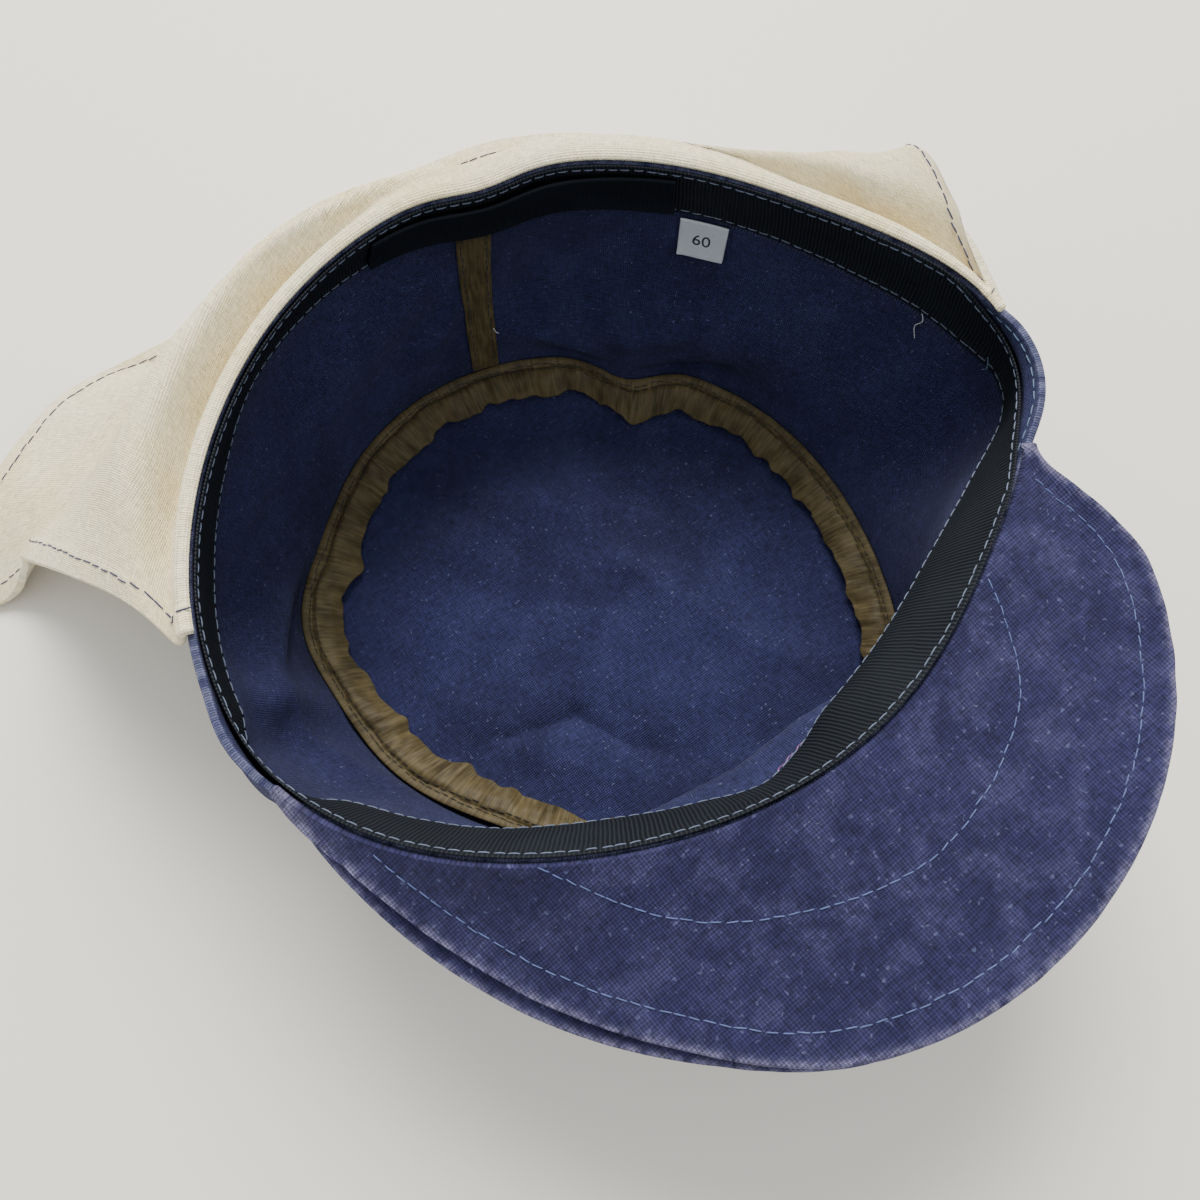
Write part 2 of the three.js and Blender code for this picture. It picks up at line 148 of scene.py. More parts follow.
# smooth line through a list of points; each point is an array of many places worked out at once
def smoothLine(points, perSpan=20):
    p = np.array(points, float)
    p = np.concatenate([2 * p[:1] - p[1:2], p, 2 * p[-1:] - p[-2:-1]])
    gap = np.maximum(np.linalg.norm(np.diff(p, axis=0), axis=2, keepdims=True) ** 0.5, smallest)
    line, steps = [p[1]], np.arange(1, perSpan + 1) / perSpan
    for k in range(1, len(p) - 2):
        before, here, after = gap[k - 1], gap[k], gap[k + 1]
        step = p[k + 1] - p[k]
        slopeFrom = ((p[k] - p[k - 1]) / before * here - (p[k + 1] - p[k - 1]) / (before + here) * here
                     + step)
        slopeTo = step - (p[k + 2] - p[k]) / (here + after) * here + (p[k + 2] - p[k + 1]) / after * here
        line += [between(p[k], p[k + 1], slopeFrom, slopeTo, s) for s in steps]
    return np.array(line)


def runAlong(line):
    steps = np.linalg.norm(np.diff(line, axis=0), axis=-1)
    return np.concatenate([np.zeros((1, *steps.shape[1:])), np.cumsum(steps, axis=0)])


# points at given shares of each line's length, or of a length of its own
def evenly(line, shares, length=None):
    run = runAlong(line)
    out = np.empty((len(shares), *line.shape[1:]))
    for j in range(line.shape[1]):
        want = np.asarray(shares) * (run[-1, j] if length is None else length[j])
        for axis in range(line.shape[2]):
            out[:, j, axis] = np.interp(want, run[:, j], line[:, j, axis])
    return out


# smooth noise from -1 to 1: each corner of a lattice gets a value by mixing its three whole numbers
noiseMix = {"apart": 31.7, "corners": (73856093, 19349663, 83492791), "seed": 7919, "stir": 1274126177}


def softNoise(points, size, seed):
    spot = points / size + noiseMix["apart"] * seed
    base = np.floor(spot).astype(np.int64)
    part = spot - base
    part = part * part * (3 - 2 * part)
    total = np.zeros(points.shape[:-1])
    for corner in range(8):
        step = np.array([corner & 1, corner >> 1 & 1, corner >> 2 & 1])
        key = ((base + step) * np.array(noiseMix["corners"])).sum(axis=-1) + seed * noiseMix["seed"]
        key = (key ^ (key >> 13)) * noiseMix["stir"] & 0xFFFFFFFF
        value = ((key ^ (key >> 16)) & 0xFFFF) / 32767.5 - 1
        total += value * np.prod(np.where(step == 1, part, 1 - part), axis=-1)
    return total


def atAngle(angle, radius, height):
    turn = np.radians(angle)
    return np.stack(np.broadcast_arrays(radius * np.cos(turn), radius * np.sin(turn), height), axis=-1)


def unit(vectors):
    return vectors / np.maximum(np.linalg.norm(vectors, axis=-1, keepdims=True), 1e-9)


# cloth from a grid of points through its middle

def gridNormals(grid, loop=False):
    down = np.gradient(grid, axis=0)
    across = (np.roll(grid, -1, axis=1) - np.roll(grid, 1, axis=1)) if loop else np.gradient(grid, axis=1)
    return unit(np.cross(across, down))


def takeAt(values, places, axis):
    low = np.clip(np.floor(places).astype(int), 0, values.shape[axis] - 2)
    shape = [1] * values.ndim
    shape[axis] = -1
    part = (places - low).reshape(shape)
    return np.take(values, low, axis=axis) * (1 - part) + np.take(values, low + 1, axis=axis) * part


# a rounded edge: rows added this far in, as a share of half the thickness, and how full the cloth is there
roundEdge = {"in": (0.13, 0.5, 1.0), "full": (0, 0.5, 0.87), "mostPerRow": 0.24}


def edgePlaces(count, spacing, radius):
    most = roundEdge["mostPerRow"]
    near = [min(x * radius / spacing, most * (k + 1)) for k, x in enumerate(roundEdge["in"])]
    places = [0, *near, *range(1, count - 1), *[count - 1 - x for x in reversed(near)], count - 1]
    full = np.ones(len(places))
    for k, share in enumerate(roundEdge["full"]):
        full[[k, -1 - k]] = share
    return np.array(places, float), full


# a closed cloth about the grid, with a rounded edge; marks are values that its material reads
def clothPiece(name, grid, thick, loop=False, uv=None, marks=None):
    marks = dict(marks or {})
    thick = np.broadcast_to(np.asarray(thick, float), grid.shape[:2])
    if loop:
        grid, thick = (np.concatenate([a, a[:, :1]], axis=1) for a in (grid, thick))
        marks = {key: np.concatenate([a, a[:, :1]], axis=1) for key, a in marks.items()}
    if uv is None:
        middle = grid[len(grid) // 2]
        u = np.broadcast_to(runAlong(middle)[None, :], grid.shape[:2])
        uv = np.stack([u, runAlong(grid)], axis=-1)
    # places are values 0 to 2, the thickness 3, the cloth's own places 4 and 5, and then come the marks
    layers = [grid, thick[..., None], uv, *[a[..., None] for a in marks.values()]]
    values = np.concatenate(layers, axis=-1)
    spacing = np.linalg.norm(np.diff(grid[:2], axis=0), axis=-1).mean()
    places, full = edgePlaces(grid.shape[0], spacing, thick.mean() / 2)
    values = takeAt(values, places, 0)
    full = np.repeat(full[:, None], values.shape[1], axis=1)
    if not loop:
        spacing = np.linalg.norm(np.diff(grid[:, :2], axis=1), axis=-1).mean()
        places, fullAcross = edgePlaces(grid.shape[1], spacing, thick.mean() / 2)
        values = takeAt(values, places, 1)
        full = takeAt(full, places, 1) * fullAcross[None, :]
    uvGrid = values[..., 4:6]
    body = values[:, :-1] if loop else values
    full = full[:, :-1] if loop else full
    middle, half = body[..., :3], body[..., 3:4] * full[..., None] / 2
    normal = gridNormals(middle, loop)
    rows, columns = full.shape
    edge = full.reshape(-1) < smallest
    upper = np.arange(rows * columns)
    lower = np.where(edge, upper, 0)
    lower[~edge] = rows * columns + np.arange((~edge).sum())
    above, below = ((middle + normal * half * way).reshape(-1, 3) for way in (1, -1))
    points = np.concatenate([above, below[~edge]])
    upper, lower = upper.reshape(rows, columns), lower.reshape(rows, columns)

    def quads(index):
        nextColumn = np.roll(index, -1, axis=1)
        if not loop:
            index, nextColumn = index[:, :-1], nextColumn[:, :-1]
        return np.stack([index[:-1], nextColumn[:-1], nextColumn[1:], index[1:]], axis=-1).reshape(-1, 4)

    corners = [uvGrid[:-1, :-1], uvGrid[:-1, 1:], uvGrid[1:, 1:], uvGrid[1:, :-1]]
    faceUv = np.stack(corners, axis=2).reshape(-1, 4, 2)
    faces = np.concatenate([quads(upper), quads(lower)[:, ::-1]])
    faceUv = np.concatenate([faceUv, faceUv[:, ::-1]])
    a, b, c, d = (points[faces[:, k]] for k in range(4))
    if (a * np.cross(b, c)).sum() + (a * np.cross(c, d)).sum() < 0:  # inside out
        faces, faceUv = faces[:, ::-1], faceUv[:, ::-1]
    piece = meshPiece(name, points, faces, faceUv)
    for k, key in enumerate(marks):
        mark = body[..., 6 + k].reshape(-1)
        addMark(piece, key, np.concatenate([mark, mark[~edge]]))
    return piece


def meshPiece(name, points, faces, faceUv=None):
    mesh = bpy.data.meshes.new(name)
    corners = faces.shape[1]
    mesh.vertices.add(len(points))
    mesh.vertices.foreach_set("co", ((points + crownMiddle) * mm).astype(np.float32).ravel())
    mesh.loops.add(faces.size)
    mesh.loops.foreach_set("vertex_index", faces.astype(np.int32).ravel())
    mesh.polygons.add(len(faces))
    mesh.polygons.foreach_set("loop_start", np.arange(0, faces.size, corners, dtype=np.int32))
    mesh.polygons.foreach_set("use_smooth", np.ones(len(faces), bool))
    if faceUv is not None:
        layer = mesh.uv_layers.new(name="clothUv")
        layer.data.foreach_set("uv", (faceUv * mm).astype(np.float32).ravel())
    mesh.update(calc_edges=True)
    mesh.validate()
    piece = bpy.data.objects.new(name, mesh)
    bpy.context.collection.objects.link(piece)
    return piece


def addMark(piece, key, values):
    layer = piece.data.attributes.new(key, "FLOAT", "POINT")
    layer.data.foreach_set("value", values.astype(np.float32))


def finished(piece, look, slotName, *nodes):
    piece.data.materials.append(look)
    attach(piece, "root")
    if nodes:
        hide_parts(*nodes)
    return piece


# materials

def addNode(tree, kind, inputs=None, **settings):
    node = tree.nodes.new(kind)
    for key, value in settings.items():
        setattr(node, key, value)
    for key, value in (inputs or {}).items():
        if isinstance(value, bpy.types.NodeSocket):
            tree.links.new(value, node.inputs[key])
        else:
            node.inputs[key].default_value = value
    return node


def sums(tree, operation, a, b=0.0, c=0.0, clamp=False):
    inputs = {0: a, 1: b, 2: c}
    return addNode(tree, "ShaderNodeMath", inputs, operation=operation, use_clamp=clamp).outputs[0]


def rangeOf(tree, value, low, high, toLow=0.0, toHigh=1.0):
    inputs = {"Value": value, "From Min": low, "From Max": high, "To Min": toLow, "To Max": toHigh}
    return addNode(tree, "ShaderNodeMapRange", inputs, interpolation_type="SMOOTHSTEP").outputs["Result"]


def blend(tree, share, a, b, how="MIX"):
    colours = [(*value, 1) if isinstance(value, tuple) else value for value in (a, b)]
    node = addNode(tree, "ShaderNodeMix", data_type="RGBA", blend_type=how)
    for key, value in (("Factor", share), ("A", colours[0]), ("B", colours[1])):
        socket = next(s for s in node.inputs if s.name == key and s.enabled)
        if isinstance(value, bpy.types.NodeSocket):
            tree.links.new(value, socket)
        else:
            socket.default_value = value
    return next(s for s in node.outputs if s.enabled)


# noise with cells of a size in millimetres; a stretch below 1 draws them out along that axis
def noiseOf(tree, place, size, detail=3.0, stretch=(1, 1, 1), roughness=0.55):
    scale = tuple(axis / (size * mm) for axis in stretch)
    scaled = addNode(tree, "ShaderNodeVectorMath", {0: place, 1: scale}, operation="MULTIPLY").outputs[0]
    inputs = {"Vector": scaled, "Scale": 1.0, "Detail": detail, "Roughness": roughness}
    return addNode(tree, "ShaderNodeTexNoise", inputs).outputs["Fac"]


# plain weave: each thread is a ridge that passes over and under in turn; sizes in millimetres
ridge = {"level": 0.6, "over": 0.4}


def weaveHeight(tree, place, pitch):
    split = addNode(tree, "ShaderNodeSeparateXYZ", {0: place})
    turns = [sums(tree, "MULTIPLY", split.outputs[k], np.pi / (pitch * mm)) for k in (0, 1)]
    waves = [sums(tree, "SINE", turn) for turn in turns]
    over = sums(tree, "MULTIPLY", waves[0], waves[1])
    ridges = []
    for wave, sign in zip(waves, (1, -1)):
        level = sums(tree, "MULTIPLY_ADD", over, sign * ridge["over"], ridge["level"])
        ridges.append(sums(tree, "MULTIPLY", sums(tree, "ABSOLUTE", wave), level))
    return sums(tree, "MAXIMUM", ridges[0], ridges[1])


def clothUvOf(tree):
    return addNode(tree, "ShaderNodeUVMap", uv_map="clothUv").outputs[0]


def markOf(tree, key):
    return addNode(tree, "ShaderNodeAttribute", attribute_name=key).outputs["Fac"]


def newLook(name, roughness, sheen=0.0, sheenTint=(1, 1, 1), shine=0.25):
    look = bpy.data.materials.new(name)
    look.use_nodes = True
    shader = look.node_tree.nodes["Principled BSDF"]
    values = {"Roughness": roughness, "Specular IOR Level": shine, "Sheen Weight": sheen,
              "Sheen Roughness": 0.5, "Sheen Tint": (*sheenTint, 1)}
    for key, value in values.items():
        shader.inputs[key].default_value = value
    return look, look.node_tree, shader


def addBump(tree, shader, height, depth, strength=1.0):
    bump = addNode(tree, "ShaderNodeBump", {"Height": height, "Distance": depth * mm, "Strength": strength})
    tree.links.new(bump.outputs[0], shader.inputs["Normal"])


# woven cotton: slubby threads, soft fading in patches, paler cloth where the wear mark is high, and painted
# shade that darkens the gaps between the threads
# sizes are in mm and widths in threads; a noise starts to show at from and is full at to
woven = {
    "slub": {"widths": 1.1, "drawnOut": 0.22, "height": 0.55},
    "patches": {"detail": 4.0, "from": 0.36, "to": 0.66},
    "clouds": {"share": 0.22, "detail": 3.0, "from": 0.4, "to": 0.7},
    "wear": {"size": 3.5, "detail": 5.0, "from": 0.3, "to": 0.62},
    "shadedGaps": {"from": 0.1, "to": 0.95},
    "specks": {"widths": 1.6, "from": 0.7, "to": 0.78},
    "speckGroups": {"size": 5.0, "detail": 2.0, "from": 0.45, "to": 0.6},
}


def spreadOf(tree, place, size, kind, detail=0.0, most=1.0):
    noise = noiseOf(tree, place, size, kind.get("detail", detail))
    return rangeOf(tree, noise, kind["from"], kind["to"], 0.0, most)


def wovenLook(name, cloth):
    look, tree, shader = newLook(name, cloth["roughness"], cloth["sheen"], cloth["sheenTint"])
    place = clothUvOf(tree)
    slub, patch = woven["slub"], cloth["patchSize"]
    warp, weft = (noiseOf(tree, place, cloth["pitch"] * slub["widths"], 1.0, stretch)
                  for stretch in ((1, slub["drawnOut"], 1), (slub["drawnOut"], 1, 1)))
    slubs = sums(tree, "ADD", warp, weft)
    height = weaveHeight(tree, place, cloth["pitch"])
    patches = spreadOf(tree, place, patch, woven["patches"])
    clouds = spreadOf(tree, place, patch * woven["clouds"]["share"], woven["clouds"])
    colour = blend(tree, patches, cloth["dark"], cloth["light"])
    colour = blend(tree, sums(tree, "MULTIPLY", clouds, cloth["clouding"]), colour, cloth["faded"])
    rubbed = spreadOf(tree, place, woven["wear"]["size"], woven["wear"])
    wear = sums(tree, "MULTIPLY", markOf(tree, "wear"), rubbed, clamp=True)
    colour = blend(tree, wear, colour, cloth["worn"])
    tone = sums(tree, "MULTIPLY_ADD", sums(tree, "SUBTRACT", slubs, 1.0), cloth["slubbing"], 1.0)
    # painted shade: the cloth is darker where the weave is low, in the gaps between the threads
    shadedGaps = rangeOf(tree, height, woven["shadedGaps"]["from"], woven["shadedGaps"]["to"], 1 - cloth["weaveGapShade"], 1.0)
    tone = sums(tree, "MULTIPLY", tone, shadedGaps)
    grey = addNode(tree, "ShaderNodeCombineColor", {0: tone, 1: tone, 2: tone}).outputs[0]
    colour = blend(tree, 1.0, colour, grey, "MULTIPLY")
    specks = spreadOf(tree, place, cloth["pitch"] * woven["specks"]["widths"], woven["specks"])
    groups = spreadOf(tree, place, woven["speckGroups"]["size"], woven["speckGroups"], most=cloth["flecks"])
    colour = blend(tree, sums(tree, "MULTIPLY", specks, groups), colour, cloth["fleck"])
    tree.links.new(colour, shader.inputs["Base Color"])
    addBump(tree, shader, sums(tree, "MULTIPLY_ADD", slubs, slub["height"], height), cloth["weaveDepth"])
    return look


twist = {"patch": 4.0, "from": 0.3, "to": 0.7, "dark": 0.75, "sheen": 0.2,
         "strandSize": 0.18, "depth": 0.05}


def threadLook(name, colour, roughness=0.6):
    look, tree, shader = newLook(name, roughness, twist["sheen"])
    place = addNode(tree, "ShaderNodeTexCoord").outputs["Object"]
    tone = spreadOf(tree, place, twist["patch"], twist, 2.0)
    dark = tuple(c * twist["dark"] for c in colour)
    tree.links.new(blend(tree, tone, dark, colour), shader.inputs["Base Color"])
    addBump(tree, shader, noiseOf(tree, place, twist["strandSize"], 1.0), twist["depth"])
    return look


# ribbon: fine cross ribs that wander a little, a dusty tone, and a painted highlight along the crest of
# each rib
ribs = {"wobbleSize": 12.0, "wobble": 1.2, "grainSize": 0.3, "grainDrawnOut": 0.2, "grain": 0.5,
        "dust": {"size": 22.0, "detail": 4.0, "from": 0.35, "to": 0.75}}


def ribbonLook(name, ribbon):
    look, tree, shader = newLook(name, ribbon["roughness"], shine=ribbon["shine"])
    place = clothUvOf(tree)
    split = addNode(tree, "ShaderNodeSeparateXYZ", {0: place})
    wobble = sums(tree, "MULTIPLY", noiseOf(tree, place, ribs["wobbleSize"], 2.0), ribs["wobble"] * mm)
    along = sums(tree, "ADD", split.outputs[0], wobble)
    rib = sums(tree, "SINE", sums(tree, "MULTIPLY", along, 2 * np.pi / (ribbon["ribPitch"] * mm)))
    grain = noiseOf(tree, place, ribs["grainSize"], 1.0, (1, ribs["grainDrawnOut"], 1))
    dust = spreadOf(tree, place, ribs["dust"]["size"], ribs["dust"])
    colour = blend(tree, dust, ribbon["dark"], ribbon["light"])
    # painted highlight: each rib's crest is lighter, up to the given share
    colour = blend(tree, rangeOf(tree, rib, -1.0, 1.0, 0.0, ribbon["ribHighlightShare"]), colour, ribbon["ribHighlightColour"])
    tree.links.new(colour, shader.inputs["Base Color"])
    addBump(tree, shader, sums(tree, "MULTIPLY_ADD", grain, ribs["grain"], rib), ribbon["ribDepth"])
    return look


# satin tape: threads drawn out across it
satin = {"sheen": 0.1, "sheenTint": (1.0, 0.85, 0.6), "weavePitch": 0.4, "weaveHeight": 0.35, "depth": 0.09,
         "threadSize": 0.8, "threadDrawnOut": 0.1, "threadHeight": 1.6,
         "patches": {"size": 9.0, "detail": 4.0, "from": 0.35, "to": 0.68},
         "paleThreads": {"from": 0.35, "to": 0.75, "most": 0.5}}


def tapeLook(name, tape):
    look, tree, shader = newLook(name, tape["roughness"], satin["sheen"], satin["sheenTint"], tape["shine"])
    place = clothUvOf(tree)
    threads = noiseOf(tree, place, satin["threadSize"], 2.0, (1, satin["threadDrawnOut"], 1))
    patches = spreadOf(tree, place, satin["patches"]["size"], satin["patches"])
    colour = blend(tree, patches, tape["dark"], tape["light"])
    pale = satin["paleThreads"]
    pale = rangeOf(tree, threads, pale["from"], pale["to"], 0.0, pale["most"])
    tree.links.new(blend(tree, pale, colour, tape["pale"]), shader.inputs["Base Color"])
    height = sums(tree, "MULTIPLY", threads, satin["threadHeight"])
    weave = weaveHeight(tree, place, satin["weavePitch"])
    addBump(tree, shader, sums(tree, "MULTIPLY_ADD", weave, satin["weaveHeight"], height), satin["depth"])
    return look


# each cloth's weave darkening is painted shade in the gaps between its threads
navyCloth = {"pitch": 0.62, "roughness": 0.92, "sheen": 0.04, "sheenTint": (0.75, 0.8, 1.0),
             "patchSize": 60, "dark": (0.018, 0.0198, 0.068), "light": (0.029, 0.0322, 0.107),
             "faded": (0.05, 0.0535, 0.155), "clouding": 0.3, "worn": (0.26, 0.27, 0.4),
             "slubbing": 1.1, "weaveGapShade": 0.62, "weaveDepth": 0.26,
             "fleck": (0.16, 0.18, 0.32), "flecks": 0.35}
peakCloth = dict(navyCloth, pitch=0.78, patchSize=45, dark=(0.015, 0.0142, 0.052),
                 light=(0.0215, 0.02, 0.0695), faded=(0.052, 0.0485, 0.123), clouding=0.55,
                 worn=(0.25, 0.23, 0.36), weaveGapShade=0.45, flecks=0.25)
creamCloth = {"pitch": 0.62, "roughness": 0.9, "sheen": 0.04, "sheenTint": (1, 0.97, 0.9),
              "patchSize": 70, "dark": (0.92, 0.775, 0.46), "light": (0.97, 0.865, 0.58),
              "faded": (0.98, 0.915, 0.72), "clouding": 0.4, "worn": (0.9, 0.87, 0.8),
              "slubbing": 0.6, "weaveGapShade": 0.2, "weaveDepth": 0.3,
              "fleck": (0.32, 0.27, 0.2), "flecks": 0.35}
whiteSatin = dict(creamCloth, pitch=0.3, roughness=0.45, dark=(0.55, 0.57, 0.6), light=(0.66, 0.68, 0.7),
                  faded=(0.75, 0.76, 0.78), worn=(0.8, 0.8, 0.8), slubbing=0.2, weaveDepth=0.05)
# the lighter rib crests of both ribbons are a painted highlight
blackRibbon = {"ribPitch": 1.05, "ribDepth": 0.14, "roughness": 0.62, "shine": 0.12, "ribHighlightShare": 0.6,
               "dark": (0.006, 0.0075, 0.0095), "light": (0.011, 0.013, 0.016),
               "ribHighlightColour": (0.026, 0.029, 0.034)}
elasticRibbon = dict(blackRibbon, ribPitch=0.7, ribDepth=0.05, roughness=0.75, shine=0.08, ribHighlightShare=0.3,
                     ribHighlightColour=(0.02, 0.026, 0.036))
brownTape = {"roughness": 0.5, "shine": 0.15, "dark": (0.038, 0.028, 0.012), "light": (0.08, 0.06, 0.026),
             "pale": (0.15, 0.117, 0.055)}

looks = {
    "navy": wovenLook("washedNavyCanvas", navyCloth),
    "peak": wovenLook("fadedPeakCanvas", peakCloth),
    "cream": wovenLook("unbleachedCotton", creamCloth),
    "satin": wovenLook("whiteSatin", whiteSatin),
    "ribbon": ribbonLook("blackRibbon", blackRibbon),
    "elastic": ribbonLook("blackElastic", elasticRibbon),
    "tape": tapeLook("brownSatinTape", brownTape),
    "paleBlue": threadLook("paleBlueThread", (0.11, 0.165, 0.25)),
    "greyBlue": threadLook("greyBlueThread", (0.12, 0.145, 0.21)),
    "navyThread": threadLook("navyThread", (0.03, 0.032, 0.09)),
    "peakThread": threadLook("fadedBlueThread", (0.085, 0.11, 0.25)),
    "pinkThread": threadLook("wornPinkThread", (0.3, 0.12, 0.3)),
    "brownThread": threadLook("brownThread", (0.014, 0.011, 0.008)),
    "whiteThread": threadLook("whiteThread", (0.6, 0.6, 0.6)),
    "ink": threadLook("darkFigures", (0.02, 0.02, 0.025)),
}
print("materials made")


# stitches: one modelled by hand, then set along a line of the cloth

stitchShape = {
    "sides": 6, "start": (-0.5, 0, -0.8), "startRadius": 0.6,
    "steps": table("forward rise wide", (0.14, 0.55, 1.5), (0.22, 0.28, 1.05), (0.3, 0, 1.0),
                   (0.22, -0.28, 0.95), (0.12, -0.55, 0.67)),
}


# one unit long and two wide: it rises out of the cloth, runs over it and goes down again
def modelStitch():
    bpy.ops.mesh.primitive_circle_add(vertices=stitchShape["sides"], radius=stitchShape["startRadius"],
                                      fill_type="NGON", location=stitchShape["start"],
                                      rotation=(0, np.pi / 2, 0))
    stitch = bpy.context.object
    bpy.ops.object.transform_apply(location=True, rotation=True)
    bpy.ops.object.mode_set(mode="EDIT")
    for step in stitchShape["steps"]:
        move = {"value": (step["forward"], 0, step["rise"])}
        bpy.ops.mesh.extrude_region_move(TRANSFORM_OT_translate=move)
        bpy.ops.transform.resize(value=(1, step["wide"], step["wide"]))
    bpy.ops.mesh.select_all(action="SELECT")
    bpy.ops.mesh.normals_make_consistent(inside=False)
    bpy.ops.mesh.quads_convert_to_tris()
    bpy.ops.object.mode_set(mode="OBJECT")
    points = np.array([v.co for v in stitch.data.vertices])
    faces = [np.roll(p.vertices, -np.argmin(p.vertices)).tolist() for p in stitch.data.polygons]
    bpy.data.objects.remove(stitch)
    return points, np.array(sorted(faces))  # sorted, as their order otherwise changes from run to run


oneStitch = modelStitch()


# a line of points a set way in from one edge of a cloth's grid, with the cloth's normals there
def lineIn(grid, side, inset, loop=False):
    normals = gridNormals(grid, loop)
    if side in ("left", "right"):
        grid, normals = grid.transpose(1, 0, 2), normals.transpose(1, 0, 2)
    if side in ("right", "bottom"):
        grid, normals = grid[::-1], normals[::-1]
    run = runAlong(grid)
    inset = np.broadcast_to(inset, run.shape[1:])

    def at(values):
        return np.array([[np.interp(inset[j], run[:, j], values[:, j, axis]) for axis in range(3)]
                         for j in range(grid.shape[1])])

    line, lineNormals = at(grid), unit(at(normals))
    if loop:
        line, lineNormals = (np.concatenate([a, a[:1]]) for a in (line, lineNormals))
    return line, lineNormals


# normals turned to face up, or to face the middle of the crown
def facing(line, normals, toward):
    aim = np.array([0.0, 0.0, 1.0]) if toward == "up" else -line * np.array([1, 1, 0])
    return normals * np.sign((normals * aim).sum(axis=-1, keepdims=True))


# pitch is one stitch with its gap, fill the thread's share of it, and above how far it stands off the cloth
# sway, slip, uneven and skew are how far stitches stray sideways, along the row, in length and in heading
handwork = {"pitch": 3.3, "fill": 0.8, "thread": 0.36, "above": 0.1, "turned": False,
            "sway": 0.12, "slip": 0.05, "uneven": 0.05, "skew": 0.05}


# stitches along a line of a cloth, on the face that looks up or to the middle of the crown
def sewn(name, seam, look, toward, clothThick, seed=1, **changes):
    work = dict(handwork, **changes)
    line, normals = seam
    normals = facing(line, normals, toward)
    run = runAlong(line)
    pitch, thread = work["pitch"], work["thread"]
    count = max(int(run[-1] / pitch), 1)
    chance = np.random.default_rng(seed)
    starts = (np.arange(count) + 0.5) * run[-1] / count + chance.normal(0, work["slip"] * pitch, count)
    half = pitch * work["fill"] / 2 * chance.normal(1, work["uneven"], count)

    def spot(values, at):
        return np.stack([np.interp(at, run, values[:, axis]) for axis in range(3)], axis=-1)

    normal = unit(spot(normals, starts))
    forward = unit(spot(line, starts + half) - spot(line, starts - half))
    side = unit(np.cross(normal, forward))
    forward = unit(forward + side * chance.normal(0, work["skew"], count)[:, None])
    if work["turned"]:
        forward, side = side, -forward
    lift = clothThick / 2 + work["above"]
    middle = spot(line, starts) + normal * lift + side * chance.normal(0, work["sway"], count)[:, None]
    shape, faces = oneStitch
    along = shape[:, 0][None, :, None] * (2 * half)[:, None, None] * forward[:, None, :]
    across = shape[:, 1][None, :, None] * thread / 2 * side[:, None, :]
    up = shape[:, 2][None, :, None] * thread / 2 * normal[:, None, :]
    points = (middle[:, None, :] + along + across + up).reshape(-1, 3)
    allFaces = (faces[None] + (np.arange(count) * len(shape))[:, None, None]).reshape(-1, 3)
    finished(meshPiece(name, points, allFaces), looks[look], "sewing_thread")


# aside is any way that no strand runs
loose = {"thick": 0.3, "sides": 6, "perSpan": 8, "aside": (0.31, 0.52, 0.79)}


# a loose end of thread: a thin round tube along a smooth line through a few places
def strand(name, places, look):
    line = smoothLine([np.array([place], float) for place in places], loose["perSpan"])[:, 0]
    forward = unit(np.gradient(line, axis=0))
    side = unit(np.cross(forward, np.array(loose["aside"])))
    over = np.cross(forward, side)
    sides = loose["sides"]
    turn = (np.arange(sides) * 2 * np.pi / sides)[:, None]
    around = side[:, None] * np.cos(turn) + over[:, None] * np.sin(turn)
    rings = line[:, None] + around * loose["thick"] / 2
    points = np.concatenate([rings.reshape(-1, 3), line[:1], line[-1:]])
    index = np.arange(len(line) * sides).reshape(len(line), sides)
    turned = np.roll(index, -1, axis=1)
    foot, head = np.full(sides, len(points) - 2), np.full(sides, len(points) - 1)
    faces = [(index[:-1], turned[:-1], turned[1:]), (index[:-1], turned[1:], index[1:]),
             (turned[0], index[0], foot), (index[-1], turned[-1], head)]
    faces = np.concatenate([np.stack(corners, axis=-1).reshape(-1, 3) for corners in faces])
    finished(meshPiece(name, points, faces), looks[look], "sewing_thread")


# soft waves of several sizes, added together
def rumpled(points, waves):
    return sum(wave["height"] * softNoise(points, wave["size"], wave["seed"]) for wave in waves)


# how worn a cloth is, this far in from its edge
def wornBy(wear, away):
    return wear["most"] * np.exp(-((away / wear["wide"]) ** 2))


# the crown wall, which the band, elastic, tapes and tab follow

